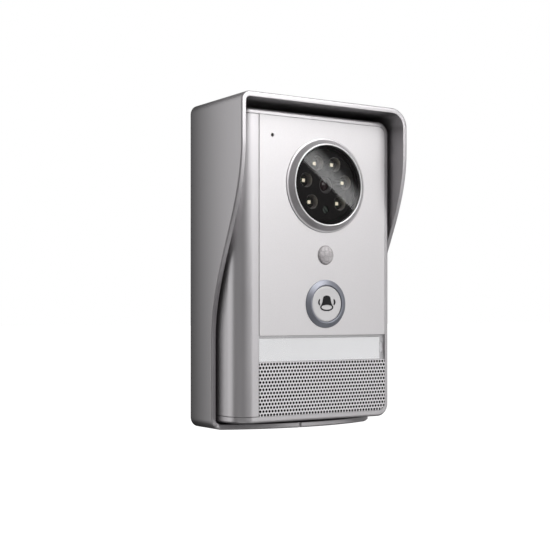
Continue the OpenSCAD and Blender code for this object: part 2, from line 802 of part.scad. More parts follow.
module lens_holder() color(BLACK) {
    half = holder_size / 2;
    difference() {
        block(axis_x - half, axis_x + half, camera_z - half, camera_z + half, camera_front_d, holder_top_d);
        disc(axis_x, camera_z, barrel_r + screw_gap, camera_front_d - 1, holder_top_d + 1);
    }
}

module image_sensor() color([0.1, 0.12, 0.2]) {
    block(axis_x - 3.5, axis_x + 3.5, camera_z - 3, camera_z + 3, camera_front_d, camera_front_d + 1.2);
}

module camera_board() color(BOARD_GREEN) {
    half_w = camera_post_x + post_r + 0.5;
    difference() {
        block(axis_x - half_w, axis_x + half_w, camera_z - camera_board_h / 2, camera_z + camera_board_h / 2,
            camera_board_d, camera_front_d);
        for (side = [-1, 1])
            disc(axis_x + side * camera_post_x, camera_z, board_screw_d / 2 + 2 * fit_gap, camera_board_d - 1,
                camera_front_d + 1);
    }
}

module camera_screws() color(STEEL) {
    for (side = [-1, 1])
        screw(axis_x + side * camera_post_x, camera_z, board_screw_d / 2, board_head_r, camera_front_d + 5,
            camera_board_d - board_head_h, board_head_h, false);
}

// ---- The motion sensor ----

module pir_lens() color([0.93, 0.93, 0.93]) {
    edge = asin(pir_r / pir_ball_r);
    inner_r = pir_r - pir_wall;
    inner_ball_r = pir_ball_r - pir_wall;
    inner_edge = asin(inner_r / inner_ball_r);
    ball_d = front_d + pir_rise - pir_ball_r;
    flange_t = 1;
    turned(axis_x, pir_z, concat(
        [[inner_r, web_d - flange_t], [pir_flange_r, web_d - flange_t], [pir_flange_r, web_d], [pir_r, web_d]],
        arc(0, ball_d, pir_ball_r, 90 - edge, 90, 10),
        arc(0, ball_d, inner_ball_r, 90, 90 - inner_edge, 10)));
}

module pir_sensor() color(STEEL) {
    top_d = web_back_d - 1.4;
    disc(axis_x, pir_z, pir_can_r, top_d - pir_can_h, top_d);
    for (a = [45, 165, 285])
        disc(axis_x + 2.5 * cos(a), pir_z + 2.5 * sin(a), 0.3, control_front_d, top_d - pir_can_h + EPS);
}

// ---- The call button ----

module button_ring() color([0.5, 0.51, 0.55]) {
    turned(axis_x, button_z, [
        [ring_d / 2, front_d], [ring_d / 2 - 0.3, front_d + 0.4], [ring_in_r + 0.7, front_d + ring_rise],
        [ring_in_r, front_d + ring_rise], [ring_in_r, ring_skirt_d], [ring_skirt_r, ring_skirt_d],
        [ring_skirt_r, front_d]]);
}

module call_button() color([0.82, 0.82, 0.83]) {
    turned(axis_x, button_z, [
        [0, cap_flange_d], [cap_flange_r, cap_flange_d], [cap_flange_r, cap_flange_d + cap_flange_t],
        [cap_r, cap_flange_d + cap_flange_t], [cap_r, cap_face_d - 0.4], [cap_r - 0.4, cap_face_d],
        [0, cap_face_d]]);
    disc(axis_x, button_z, stem_r, plunger_top_d, cap_flange_d + EPS);
}

function ellipse(z, half_w, half_h, steps = 32) =
    [for (i = [0:steps - 1]) let (a = 360 * i / steps) [half_w * cos(a), z + half_h * sin(a)]];

// A bell that flares to an open oval mouth, with a sound crescent on each side
module bell_outline() {
    dome_w = bell_h * 0.29;
    dome_h = bell_h * 0.2;
    dome_z = bell_h * 0.34;
    mouth_w = bell_h * 0.51;
    mouth_h = bell_h * 0.24;
    mouth_z = -bell_h * 0.22;
    line = bell_h * 0.08;
    difference() {
        union() {
            polygon(ellipse(dome_z, dome_w, dome_h));
            polygon(ellipse(mouth_z, mouth_w, mouth_h));
            for (side = [-1, 1])
                polygon([[0, dome_z], [side * dome_w, dome_z], [side * dome_w * 1.17, bell_h * 0.1],
                    [side * dome_w * 1.34, -bell_h * 0.02], [side * mouth_w * 0.93, mouth_z + mouth_h * 0.4],
                    [0, mouth_z]]);
        }
        polygon(ellipse(mouth_z, mouth_w - line, mouth_h - line));
    }
    for (side = [-1, 1]) translate([side * bell_h * 0.44, bell_h * 0.11]) bell_crescent(side);
}

module bell_crescent(side) {
    outer_r = bell_h * 0.235;
    inner_r = bell_h * 0.19;
    intersection() {
        difference() {
            circle(outer_r);
            translate([-side * bell_h * 0.06, 0]) circle(inner_r);
        }
        polygon([[0, 0], [side * outer_r, outer_r * 1.7], [side * outer_r, -outer_r * 1.7]]);
    }
}

module bell_symbol() color(BLACK) {
    translate([axis_x, 0, button_z]) slab(cap_face_d, cap_face_d + bell_t) bell_outline();
}

module return_dome() color([0.85, 0.85, 0.8]) {
    foot_r = switch_size * 0.71 + 1.7;
    shoulder_d = control_front_d + switch_h + 0.8;
    wall = 0.8;
    turned(axis_x, button_z, [
        [foot_r - wall, control_front_d], [foot_r, control_front_d], [foot_r, shoulder_d],
        [stem_r + 0.6 + wall, cap_flange_d], [stem_r + 0.6, cap_flange_d], [foot_r - wall, shoulder_d - 0.2]]);
}

module switch_body() color(BLACK) {
    half = switch_size / 2;
    top_d = control_front_d + switch_h;
    difference() {
        block(axis_x - half, axis_x + half, button_z - half, button_z + half, control_front_d, top_d);
        disc(axis_x, button_z, plunger_r + plunger_gap, plunger_foot_d - cap_travel - 0.3, top_d + 1);
    }
}

module switch_plunger() color([0.3, 0.3, 0.3]) {
    disc(axis_x, button_z, plunger_r, plunger_foot_d, plunger_top_d);
}

module control_board() color(BOARD_GREEN) {
    half_w = control_post_x + post_r + 0.5;
    margin = 9;
    difference() {
        block(axis_x - half_w, axis_x + half_w, button_z - margin, pir_z + margin, control_board_d,
            control_front_d);
        for (side = [-1, 1])
            disc(axis_x + side * control_post_x, control_mid_z, board_screw_d / 2 + 2 * fit_gap,
                control_board_d - 1, control_front_d + 1);
    }
}

module control_screws() color(STEEL) {
    for (side = [-1, 1])
        screw(axis_x + side * control_post_x, control_mid_z, board_screw_d / 2, board_head_r,
            control_front_d + 5, control_board_d - board_head_h, board_head_h, false);
}

// ---- The nameplate ----

module nameplate_window() color([0.9, 0.9, 0.92, 0.5]) {
    difference() {
        block(seam_x + seam, panel_x1 - seam, name_z0 + seam / 2, name_z1 - seam / 2, web_d, name_face_d);
        block(panel_x1 - notch_len, panel_x1, name_mid_z - notch_w / 2, name_mid_z + notch_w / 2, web_d - 1,
            front_d + 1);
    }
    for (x = [name_x0 + fit_gap, name_x1 - fit_gap - clip_t])
        block(x, x + clip_t, name_mid_z - clip_w / 2, name_mid_z + clip_w / 2, web_d - clip_len, web_d + EPS);
}

module name_sheet(near, far) {
    block(card_x0, card_x1, name_z0 + name_ledge + fit_gap, name_z1 - name_ledge - fit_gap, near, far);
}

module name_card() color([0.95, 0.95, 0.95]) {
    name_sheet(card_d, web_d);
}

module light_guide() color([0.92, 0.94, 0.96, 0.7]) {
    name_sheet(guide_d, card_d);
}

function backlight_x(i) = card_x0 + (card_x1 - card_x0) * (i + 0.5) / backlight_count;

module backlight_leds() color([0.98, 0.95, 0.8]) {
    half_w = 1.4;
    half_h = 1.7;
    for (i = [0:backlight_count - 1])
        block(backlight_x(i) - half_w, backlight_x(i) + half_w, name_mid_z - half_h, name_mid_z + half_h,
            backlight_d, guide_d);
}

module backlight_board() color(BOARD_GREEN) {
    half_h = 4;
    block(card_x0, card_x1, name_mid_z - half_h, name_mid_z + half_h, backlight_d - backlight_board_t,
        backlight_d);
}

// ---- The speaker and the microphone ----

module plate_outline() {
    polygon(rounded(seam_x + seam / 2, panel_x1 - seam, panel_z0 + seam, grille_z1 - seam / 2,
        [0.2, 0.2, 0.2, panel_r - seam]));
}

// True where a grille hole would run into the plate's rounded corner
function off_corner(x, z) =
    let (cx = panel_x1 - panel_r, cz = panel_z0 + panel_r)
    x < cx || z > cz || norm([x - cx, z - cz]) < panel_r - grille_edge + 0.3;

module speaker_grille() color([0.7, 0.7, 0.71]) {
    slab(grille_back_d, front_d) difference() {
        plate_outline();
        for (row = [0:grille_rows - 1]) {
            z = grille_z1 - grille_edge - row * hole_pitch;
            indented = row % 2 == 0 ? 1 : 0;
            shift = indented * hole_pitch / 2;
            for (col = [0:grille_cols - 1 - indented]) {
                x = seam_x + grille_left_edge + shift + col * hole_pitch;
                if (off_corner(x, z)) translate([x, z]) circle(d = hole_d, $fn = 16);
            }
        }
    }
}

module grille_cloth() color(BLACK) {
    dust_hole_r = 2.5;
    slab(web_d, grille_back_d) difference() {
        plate_outline();
        translate([speaker_x, speaker_z]) circle(dust_hole_r);
    }
}

module speaker_gasket() color(BLACK) {
    tube(speaker_x, speaker_z, speaker_r, speaker_r - speaker_rim_w, speaker_face_d, web_back_d - EPS);
}

module speaker_frame() color(STEEL) {
    back_d = speaker_face_d - speaker_t;
    seat_r = speaker_r - speaker_rim_w;
    turned(speaker_x, speaker_z, [
        [magnet_d / 2 - 2, back_d], [magnet_d / 2 + 1, back_d], [speaker_r, speaker_face_d - 1],
        [speaker_r, speaker_face_d], [seat_r, speaker_face_d], [seat_r, speaker_face_d - 0.6],
        [magnet_d / 2 + 0.5, back_d + 0.8], [magnet_d / 2 - 2, back_d + 0.8]]);
}

module speaker_cone() color([0.12, 0.12, 0.12]) {
    back_d = speaker_face_d - speaker_t + 1.6;
    rim_r = speaker_r - speaker_rim_w - 2 * fit_gap;
    neck_r = magnet_d / 2 - 2.5;
    turned(speaker_x, speaker_z, [
        [0, back_d + 0.6], [neck_r, back_d], [rim_r, speaker_face_d - 0.5], [rim_r, speaker_face_d],
        [neck_r, back_d + 0.5], [0, back_d + 1.1]]);
}

module speaker_magnet() color([0.35, 0.35, 0.36]) {
    magnet_t = 4;
    back_d = speaker_face_d - speaker_t;
    disc(speaker_x, speaker_z, magnet_d / 2, back_d - magnet_t, back_d);
}

module microphone() color(STEEL) {
    disc(mic_x, mic_z, mic_r, mic_front_d - mic_t, mic_front_d);
}

module mic_boot() color(BLACK) {
    boot_r = mic_r + mic_boot_wall;
    boot_back_d = mic_front_d - mic_t - 0.5;
    turned(mic_x, mic_z, [
        [mic_hole_d / 2, web_back_d], [boot_r, web_back_d], [boot_r, boot_back_d], [mic_r, boot_back_d],
        [mic_r, mic_front_d], [mic_hole_d / 2, mic_front_d]]);
}

// ---- The main board ----

module main_board() color(BOARD_GREEN) {
    difference() {
        block(board_x0, board_x1, board_z0, board_z1, board_d, board_front_d);
        at_corners(board_screw_xs, board_screw_zs)
            slab(board_d - 1, board_front_d + 1) circle(board_screw_d / 2 + 2 * fit_gap);
    }
}

module board_screws() color(STEEL) {
    for (x = board_screw_xs, z = board_screw_zs)
        screw(x, z, board_screw_d / 2, board_head_r, board_d - 5, board_front_d, board_head_h, true);
}

module processor() color([0.12, 0.12, 0.13]) {
    size = 14;
    height = 1.4;
    x0 = board_x0 + 10;
    z0 = pir_z - size / 2;
    block(x0, x0 + size, z0, z0 + size, board_front_d, board_front_d + height);
}

// Capacitors, a coil and small chips on the front of the main board
module board_parts() color([0.2, 0.22, 0.3]) {
    edge = 8;
    capacitor_r = 3.1;
    capacitor_h = 7;
    capacitor_pitch = 9;
    coil_size = 10;
    coil_h = 4.5;
    chip_w = 6;
    chip_l = 5;
    chip_t = 1.5;
    chip_pitch = 12;
    coil_x0 = board_x1 - coil_size - 4;
    chip_z0 = board_z0 + 9;
    for (i = [0:2])
        disc(board_x0 + edge + capacitor_pitch * i, button_z + 4, capacitor_r, board_front_d,
            board_front_d + capacitor_h);
    block(coil_x0, coil_x0 + coil_size, pir_z - coil_size / 2, pir_z + coil_size / 2, board_front_d,
        board_front_d + coil_h);
    for (i = [0:3]) {
        x0 = board_x0 + edge + chip_pitch * i;
        block(x0, x0 + chip_w, chip_z0, chip_z0 + chip_l, board_front_d, board_front_d + chip_t);
    }
}

// Headers that join the camera and control boards to the main board
module board_connectors() color([0.9, 0.88, 0.8]) {
    block(axis_x - 8, axis_x + 8, camera_z - 9, camera_z - 5, board_front_d, camera_board_d);
    block(axis_x - 5, axis_x + 5, control_mid_z + 3, control_mid_z + 7, board_front_d, control_board_d);
}

function terminal_x(i) = (i - (terminal_count - 1) / 2) * terminal_pitch;

module terminal_block() color([0.1, 0.45, 0.3]) {
    half = terminal_count * terminal_pitch / 2;
    wire_hole_d = 2.6;
    wire_in = 4.6;
    difference() {
        block(-half, half, terminal_top_z - terminal_h, terminal_top_z, terminal_near_d, board_d);
        for (i = [0:terminal_count - 1]) {
            // Wire holes from above, and wells for the clamp screws from behind
            translate([terminal_x(i), -(terminal_near_d + wire_in), terminal_screw_z])
                cylinder(d = wire_hole_d, h = terminal_h);
            disc(terminal_x(i), terminal_screw_z, terminal_screw_r + fit_gap, terminal_near_d - 1,
                terminal_near_d + 1 + terminal_screw_t);
        }
    }
}

module terminal_screws() color(STEEL) {
    head_d = terminal_near_d + 1;
    slot_l = 1.2;
    slot_w = 0.25;
    for (i = [0:terminal_count - 1]) difference() {
        disc(terminal_x(i), terminal_screw_z, terminal_screw_r, head_d, head_d + terminal_screw_t);
        block(terminal_x(i) - slot_l, terminal_x(i) + slot_l, terminal_screw_z - slot_w,
            terminal_screw_z + slot_w, head_d - 1, head_d + terminal_screw_t / 2);
    }
}

rain_hood();
wall_bracket();
lock_screw();
rear_case();
case_seal();
case_screws();
housing();
spine_cover();
front_panel();
camera_bezel();
window_trim_ring();
camera_window();
window_gasket();
led_mask();
for (i = [1:len(LED_ANGLES)]) ir_led(i);
led_board();
lens_barrel();
lens_glass();
lens_holder();
image_sensor();
camera_board();
light_sensor();
camera_screws();
pir_lens();
pir_sensor();
button_ring();
call_button();
bell_symbol();
return_dome();
switch_body();
switch_plunger();
control_board();
control_screws();
nameplate_window();
name_card();
light_guide();
backlight_leds();
backlight_board();
speaker_grille();
grille_cloth();
speaker_gasket();
speaker_frame();
speaker_cone();
speaker_magnet();
microphone();
mic_boot();
main_board();
processor();
board_parts();
board_connectors();
board_screws();
terminal_block();
terminal_screws();
cable_grommet();
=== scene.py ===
import json
import math

import bmesh
import bpy
from bpy.props import FloatProperty, FloatVectorProperty, IntProperty, PointerProperty
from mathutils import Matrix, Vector


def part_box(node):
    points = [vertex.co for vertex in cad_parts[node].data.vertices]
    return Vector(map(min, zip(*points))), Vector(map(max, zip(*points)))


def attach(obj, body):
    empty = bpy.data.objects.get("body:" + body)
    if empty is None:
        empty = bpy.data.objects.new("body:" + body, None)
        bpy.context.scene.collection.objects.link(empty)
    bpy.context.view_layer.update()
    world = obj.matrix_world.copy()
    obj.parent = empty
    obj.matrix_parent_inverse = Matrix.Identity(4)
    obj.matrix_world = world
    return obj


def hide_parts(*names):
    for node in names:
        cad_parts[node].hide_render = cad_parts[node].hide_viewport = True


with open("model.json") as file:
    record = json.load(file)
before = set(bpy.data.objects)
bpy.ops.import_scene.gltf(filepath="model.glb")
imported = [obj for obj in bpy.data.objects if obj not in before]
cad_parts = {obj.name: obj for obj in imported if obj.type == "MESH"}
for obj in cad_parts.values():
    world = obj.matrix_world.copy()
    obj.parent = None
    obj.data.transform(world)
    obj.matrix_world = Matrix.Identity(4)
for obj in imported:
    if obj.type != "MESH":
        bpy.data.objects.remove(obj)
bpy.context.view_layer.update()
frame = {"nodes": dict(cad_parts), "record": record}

bl_info = {
    "name": "Video door station",
    "version": (1, 0, 0),
    "blender": (4, 5, 0),
    "location": "View3D > Sidebar > Door station",
    "description": "Builds the hood, body, camera and call button of a video door station around its frame",
    "category": "Object",
}

MM = 0.001
SLACK = 0.01 * MM
FIT = 0.1 * MM  # clearance between pieces that slide into each other
OVERCUT = MM  # how far a cutter reaches past what it cuts
SIDES = 96
LED_COUNT = 6
LENS_NOSE = 3.75 * MM

# How far each rim covers the edge of the opening behind it
BEZEL_OVERLAP = 0.9 * MM
DOME_OVERLAP = 1.05 * MM
RING_OVERLAP = 1.1 * MM
FRAME_OVERLAP = 2 * MM

# An infrared lamp in its cup
LAMP_FLANGE = 0.4 * MM
CUP_FOOT_GAP = 0.5 * MM
CUP_DEPTH = 2 * MM


# ---- Sizes and colours that a user may change ----

class StationShellSettings(bpy.types.PropertyGroup):
    """Sizes of the hood and of the body's shells."""
    hood_wall: FloatProperty(
        name="Hood wall", description="Wall of the hood's sides", default=2.4 * MM, unit="LENGTH")
    hood_back: FloatProperty(
        name="Hood back", description="Thickness of the hood's back plate", default=2 * MM,
        unit="LENGTH")
    hood_left_radius: FloatProperty(
        name="Left corners", description="Radius of the hood's left corners", default=4.5 * MM,
        unit="LENGTH")
    hood_right_radius: FloatProperty(
        name="Right corners", description="Radius of the hood's right corners", default=9 * MM,
        unit="LENGTH")
    low_depth: FloatProperty(
        name="Low depth", description="Depth of the hood's sides below the sweep", default=19.5 * MM,
        unit="LENGTH")
    sweep_drop: FloatProperty(
        name="Sweep drop", description="From the hood's top to the sweep", default=21 * MM,
        unit="LENGTH")
    sweep_height: FloatProperty(
        name="Sweep height", description="Height of the sweep in the side edge", default=88 * MM,
        unit="LENGTH")
    lip_reach: FloatProperty(
        name="Lip reach", description="Depth of the bottom lip at its middle", default=31.2 * MM,
        unit="LENGTH")
    rim_round: FloatProperty(
        name="Rim rounding", description="Rounding of the rim's outer edge", default=0.8 * MM,
        unit="LENGTH")
    rim_round_inner: FloatProperty(
        name="Inner rim rounding", description="Rounding of the rim's inner edge", default=0.25 * MM,
        unit="LENGTH")
    spine_radius: FloatProperty(
        name="Spine radius", description="Radius of the round left spine", default=8.6 * MM,
        unit="LENGTH")
    spine_wall: FloatProperty(
        name="Spine wall", description="Wall of the spine cover", default=1.4 * MM, unit="LENGTH")
    body_corner: FloatProperty(
        name="Body corners", description="Radius of the body's right corners", default=6 * MM,
        unit="LENGTH")
    body_round: FloatProperty(
        name="Body rounding", description="Rounding of the body's front edges", default=1.1 * MM,
        unit="LENGTH")
    case_wall: FloatProperty(
        name="Case wall", description="Wall of the housing", default=2 * MM, unit="LENGTH")
    web: FloatProperty(
        name="Web", description="Thickness of the housing's front behind the plates", default=1.8 * MM,
        unit="LENGTH")
    plate_corner: FloatProperty(
        name="Plate corners", description="Radius of the front plates' right corners", default=4 * MM,
        unit="LENGTH")
    seam_round: FloatProperty(
        name="Seam rounding", description="Rounding of the plates' edges at their seams", default=0.3 * MM,
        unit="LENGTH")
    seam: FloatProperty(
        name="Seam", description="Gap round the front plates", default=0.15 * MM, unit="LENGTH")


class StationFrontSettings(bpy.types.PropertyGroup):
    """Sizes of what stands in the front panel."""
    bezel_slope: FloatProperty(
        name="Bezel slope", description="Width of the bezel's sloping face", default=2.8 * MM,
        unit="LENGTH")
    bezel_flange: FloatProperty(
        name="Bezel flange", description="Width of the flat flange round the bezel", default=0.95 * MM,
        unit="LENGTH")
    bezel_lift: FloatProperty(
        name="Flange height", description="Height of the bezel's flange", default=0.4 * MM,
        unit="LENGTH")
    cup_radius: FloatProperty(
        name="Lamp cup", description="Radius of an infrared lamp's cup", default=3.35 * MM,
        unit="LENGTH")
    # The die's brightness is a painted glint.
    die_size: FloatProperty(
        name="Lamp die", description="Width of the bright die in a lamp", default=1.5 * MM,
        unit="LENGTH")
    mic_hole: FloatProperty(
        name="Microphone hole", description="Diameter of the microphone hole", default=1.7 * MM,
        unit="LENGTH")
    dome_facets: IntProperty(
        name="Dome facets", description="Facets round the motion sensor's lens", default=9)
    hole_pitch: FloatProperty(
        name="Grille pitch", description="Distance between the grille's holes", default=1.63 * MM,
        unit="LENGTH")
    # The dark edge round each grille hole is painted shade.
    hole_shade_radius: FloatProperty(
        name="Grille hole", description="Radius of the dark edge of a grille hole", default=0.6 * MM,
        unit="LENGTH")
    hole_inset: FloatProperty(
        name="Grille inset", description="From the seam to the middle of the first holes", default=0.55 * MM,
        unit="LENGTH")
    hole_drop: FloatProperty(
        name="Grille drop", description="From the grille's top to the first row of holes", default=0.8 * MM,
        unit="LENGTH")
    name_border: FloatProperty(
        name="Name border", description="Clear border of the nameplate's cover", default=1.2 * MM,
        unit="LENGTH")


class StationColourSettings(bpy.types.PropertyGroup):
    """Colours of the finishes."""
    silver: FloatVectorProperty(
        name="Silver", description="Paint of the hood and the body", subtype="COLOR", size=4,
        default=(0.63, 0.612, 0.626, 1))
    plate: FloatVectorProperty(
        name="Plate", description="Satin metal of the front plates", subtype="COLOR", size=4,
        default=(0.775, 0.755, 0.765, 1))
    ring: FloatVectorProperty(
        name="Button ring", description="Metal of the ring round the button", subtype="COLOR", size=4,
        default=(0.29, 0.30, 0.345, 1))
    cap: FloatVectorProperty(
        name="Button cap", description="Plastic of the button's cap", subtype="COLOR", size=4,
        default=(0.74, 0.73, 0.735, 1))
    board: FloatVectorProperty(
        name="Circuit boards", description="Solder mask of the boards", subtype="COLOR", size=4,
        default=(0.01, 0.09, 0.04, 1))


class StationStageSettings(bpy.types.PropertyGroup):
    """The camera and the floor."""
    camera_place: FloatVectorProperty(
        name="Camera", description="Place of the camera", subtype="TRANSLATION", unit="LENGTH",
        default=(-307.8 * MM, -475.3 * MM, -21.9 * MM))
    camera_turn: FloatProperty(
        name="Camera turn", description="Angle of the camera from straight on", subtype="ANGLE",
        default=math.radians(-33))
    lens: FloatProperty(name="Lens", description="Focal length of the camera in mm", default=75.93)
    rise: FloatProperty(name="Rise", description="Vertical shift of the camera", default=0.0689)
    floor_height: FloatProperty(
        name="Floor", description="Height of the floor", default=-0.4, unit="LENGTH")


# ---- Modelling helpers ----

def clear_selection():
    if bpy.context.mode != "OBJECT":
        bpy.ops.object.mode_set(mode="OBJECT")
    bpy.ops.object.select_all(action="DESELECT")


def activate(piece):
    clear_selection()
    piece.select_set(True)
    bpy.context.view_layer.objects.active = piece


def edit(piece):
    activate(piece)
    bpy.ops.object.mode_set(mode="EDIT")
    bpy.ops.mesh.select_all(action="DESELECT")


def leave():
    bpy.ops.object.mode_set(mode="OBJECT")


def pick(piece, kind, test):
    """Selects, in edit mode, the vertices, edges or faces that pass the test."""
    bpy.ops.mesh.select_all(action="DESELECT")
    bpy.ops.mesh.select_mode(type=kind)
    mesh = bmesh.from_edit_mesh(piece.data)
    mesh.normal_update()
    for item in {"VERT": mesh.verts, "EDGE": mesh.edges, "FACE": mesh.faces}[kind]:
        if test(item):
            item.select_set(True)
    mesh.select_flush_mode()
    bmesh.update_edit_mesh(piece.data)


def lies_at(x=None, y=None, z=None):
    """A test for edges and faces that lie wholly at the given coordinates."""
    wanted = [(axis, value) for axis, value in enumerate((x, y, z)) if value is not None]
    return lambda item: all(
        abs(vert.co[axis] - value) < SLACK for vert in item.verts for axis, value in wanted)


def settle(name):
    """Names the new primitive and puts its place, turn and size into its mesh."""
    piece = bpy.context.object
    piece.name = name
    piece.data.name = name
    bpy.ops.object.transform_apply(location=True, rotation=True, scale=True)
    return piece


def block(name, low, high):
    """A box between two corners."""
    low, high = Vector(low), Vector(high)
    clear_selection()
    bpy.ops.mesh.primitive_cube_add(size=1, location=(low + high) / 2)
    bpy.context.object.scale = high - low
    return settle(name)


def slab(name, x, near, far, z):
    """A box from its ranges: x and z are pairs, near and far are distances from the wall."""
    return block(name, (x[0], -far, z[0]), (x[1], -near, z[1]))


def rod(name, x, z, radius, near, far, sides=SIDES):
    """A cylinder along the depth, between two distances from the wall."""
    clear_selection()
    bpy.ops.mesh.primitive_cylinder_add(
        vertices=sides, radius=radius, depth=far - near, location=(x, -(near + far) / 2, z),
        rotation=(math.pi / 2, 0, 0))
    return settle(name)


def post(name, x, depth, radius, low, high, sides=48):
    """An upright cylinder."""
    clear_selection()
    bpy.ops.mesh.primitive_cylinder_add(
        vertices=sides, radius=radius, depth=high - low, location=(x, -depth, (low + high) / 2))
    return settle(name)


def round_edges(piece, radius, segments, test):
    """Bevels the edges that pass the test."""
    edit(piece)
    pick(piece, "EDGE", test)
    bpy.ops.mesh.bevel(offset=radius, segments=segments, affect="EDGES")
    leave()


def combine(piece, tool, operation="DIFFERENCE"):
    """Cuts the tool from the piece, or joins it, and removes the tool."""
    activate(piece)
    bpy.ops.object.modifier_add(type="BOOLEAN")
    modifier = piece.modifiers[-1]
    modifier.operation = operation
    modifier.solver = "EXACT"
    modifier.object = tool
    bpy.ops.object.modifier_apply(modifier=modifier.name)
    bpy.data.objects.remove(tool)


def shade(piece, angle=35):
    """Smooth shading up to an angle, with the large faces kept flat."""
    activate(piece)
    bpy.ops.object.shade_smooth_by_angle(angle=math.radians(angle))
    bpy.ops.object.modifier_add(type="WEIGHTED_NORMAL")
    piece.modifiers[-1].keep_sharp = True
    bpy.ops.object.modifier_apply(modifier=piece.modifiers[-1].name)


def soften(piece, width, segments=2, angle=35):
    """Rounds the piece's sharp edges and shades it smooth."""
    activate(piece)
    bpy.ops.object.modifier_add(type="BEVEL")
    modifier = piece.modifiers[-1]
    modifier.width = width
    modifier.segments = segments
    modifier.limit_method = "ANGLE"
    modifier.angle_limit = math.radians(angle)
    bpy.ops.object.modifier_apply(modifier=modifier.name)
    shade(piece, angle)


def rounded_profile(corners, steps=4):
    """Points of a profile whose corners are (radius, distance) or (radius, distance, fillet)."""
    points = []
    for i, corner in enumerate(corners):
        at = Vector(corner[:2])
        if len(corner) < 3:
            points.append(at)
            continue
        to_last = (Vector(corners[i - 1][:2]) - at).normalized()
        to_next = (Vector(corners[i + 1][:2]) - at).normalized()
        half = to_last.angle(to_next) / 2
        middle = at + (to_last + to_next).normalized() * corner[2] / math.sin(half)
        start = at + to_last * corner[2] / math.tan(half) - middle
        end = at + to_next * corner[2] / math.tan(half) - middle
        for step in range(steps + 1):
            points.append(middle + start.slerp(end, step / steps).normalized() * corner[2])
    return points


def turned(name, x, z, profile, steps=SIDES):
    """A solid turned about a front-to-back axis from a profile of (radius, distance from the wall) points."""
    clear_selection()
    bpy.ops.mesh.primitive_plane_add(size=MM)
    piece = settle(name)
    bpy.ops.object.mode_set(mode="EDIT")
    bpy.ops.mesh.select_mode(type="VERT")
    bpy.ops.mesh.select_all(action="SELECT")
    bpy.ops.mesh.merge(type="CENTER")
    places = [Vector((x + radius, -depth, z)) for radius, depth in profile]
    bpy.ops.transform.translate(value=places[0])
    for last, place in zip(places, places[1:]):
        bpy.ops.mesh.extrude_vertices_move(TRANSFORM_OT_translate={"value": place - last})
    bpy.ops.mesh.select_all(action="SELECT")
    bpy.ops.mesh.spin(steps=steps, angle=math.tau, center=(x, 0, z), axis=(0, 1, 0))
    bpy.ops.mesh.select_all(action="SELECT")
    bpy.ops.mesh.remove_doubles(threshold=SLACK / 20)
    bpy.ops.mesh.normals_make_consistent(inside=False)
    leave()
    shade(piece)
    return piece


def finish_piece(piece, body, finish, slot, *nodes):
    """Gives a piece its material, its body and the CAD nodes that it stands for; the record slot is not used.
    """
    piece.data.materials.clear()
    piece.data.materials.append(finish)
    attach(piece, body)
    if nodes:
        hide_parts(*nodes)


def middle_of(node):
    low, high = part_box(node)
    return (low.x + high.x) / 2, (low.z + high.z) / 2


def radius_of(node):
    low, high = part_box(node)
    return (high.x - low.x) / 2


def depths_of(node):
    """The node's nearest and farthest distance from the wall."""
    low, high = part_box(node)
    return -high.y, -low.y


# ---- Shader helpers ----

class Value:
    """A node's output on which Python's operators add Math nodes."""

    def __init__(self, finish, socket):
        self.finish = finish
        self.socket = socket

    def maths(self, operation, first, second=0.0):
        return self.finish.maths(operation, first, second)

    def __add__(self, other):
        return self.maths("ADD", self, other)

    def __radd__(self, other):
        return self.maths("ADD", other, self)

    def __sub__(self, other):
        return self.maths("SUBTRACT", self, other)

    def __rsub__(self, other):
        return self.maths("SUBTRACT", other, self)

    def __mul__(self, other):
        return self.maths("MULTIPLY", self, other)

    def __rmul__(self, other):
        return self.maths("MULTIPLY", other, self)

    def __lt__(self, other):
        return self.maths("LESS_THAN", self, other)


class Finish:
    """A material under construction."""

    def __init__(self, name):
        self.material = bpy.data.materials.new(name)
        self.material.use_nodes = True
        self.nodes = self.material.node_tree.nodes
        self.links = self.material.node_tree.links
        self.nodes.clear()
        self.place = self.node("TexCoord", output="Object")

    def plug(self, socket, value):
        if isinstance(value, Value):
            self.links.new(value.socket, socket)
        else:
            socket.default_value = value

    def node(self, kind, settings=None, inputs=None, output=0):
        """Adds any node: its settings first, then the values or links of its sockets."""
        made = self.nodes.new("ShaderNode" + kind)
        for name, value in (settings or {}).items():
            if name == "stops":
                for stop, (position, colour) in zip(made.color_ramp.elements, value):
                    stop.position = position
                    stop.color = colour
            else:
                setattr(made, name, value)
        for name, value in (inputs or {}).items():
            self.plug(made.inputs[name], value)
        return Value(self, made.outputs[output])

    def maths(self, operation, first, second=0.0):
        return self.node("Math", {"operation": operation}, {0: first, 1: second})

    def part(self, vector, axis):
        """One coordinate of a vector."""
        return self.node("SeparateXYZ", inputs={0: vector}, output=axis)

    def ramp(self, value, start, end):
        """Grows from 0 to 1 while the value goes from start to end."""
        return self.node("MapRange", inputs={
            "Value": value, "From Min": start, "From Max": end, "To Min": 0.0, "To Max": 1.0})

    def noise(self, scale, detail=2.0, roughness=0.5, stretch=(1, 1, 1)):
        """Noise from 0 to 1. The scale is in waves per metre."""
        where = self.node("Mapping", inputs={"Vector": self.place, "Scale": stretch})
        return self.node("TexNoise", inputs={
            "Vector": where, "Scale": scale, "Detail": detail, "Roughness": roughness})

    def mix(self, share, first, second):
        """A colour between two colours."""
        return self.node("Mix", {"data_type": "RGBA"}, {0: share, 6: first, 7: second}, output=2)

    def bump(self, height, distance, strength=1.0):
        return self.node("Bump", inputs={"Height": height, "Distance": distance, "Strength": strength})

    def surface(self, **values):
        """A Principled surface. Socket names are given with underscores."""
        inputs = {name.replace("_", " "): value for name, value in values.items()}
        shader = self.node("BsdfPrincipled", inputs=inputs)
        output = self.nodes.new("ShaderNodeOutputMaterial")
        self.links.new(shader.socket, output.inputs["Surface"])
        return self.material


def shaded(colour, factor):
    """A colour made darker or lighter."""
    return tuple(min(1.0, part * factor) for part in colour[:3]) + (1.0,)


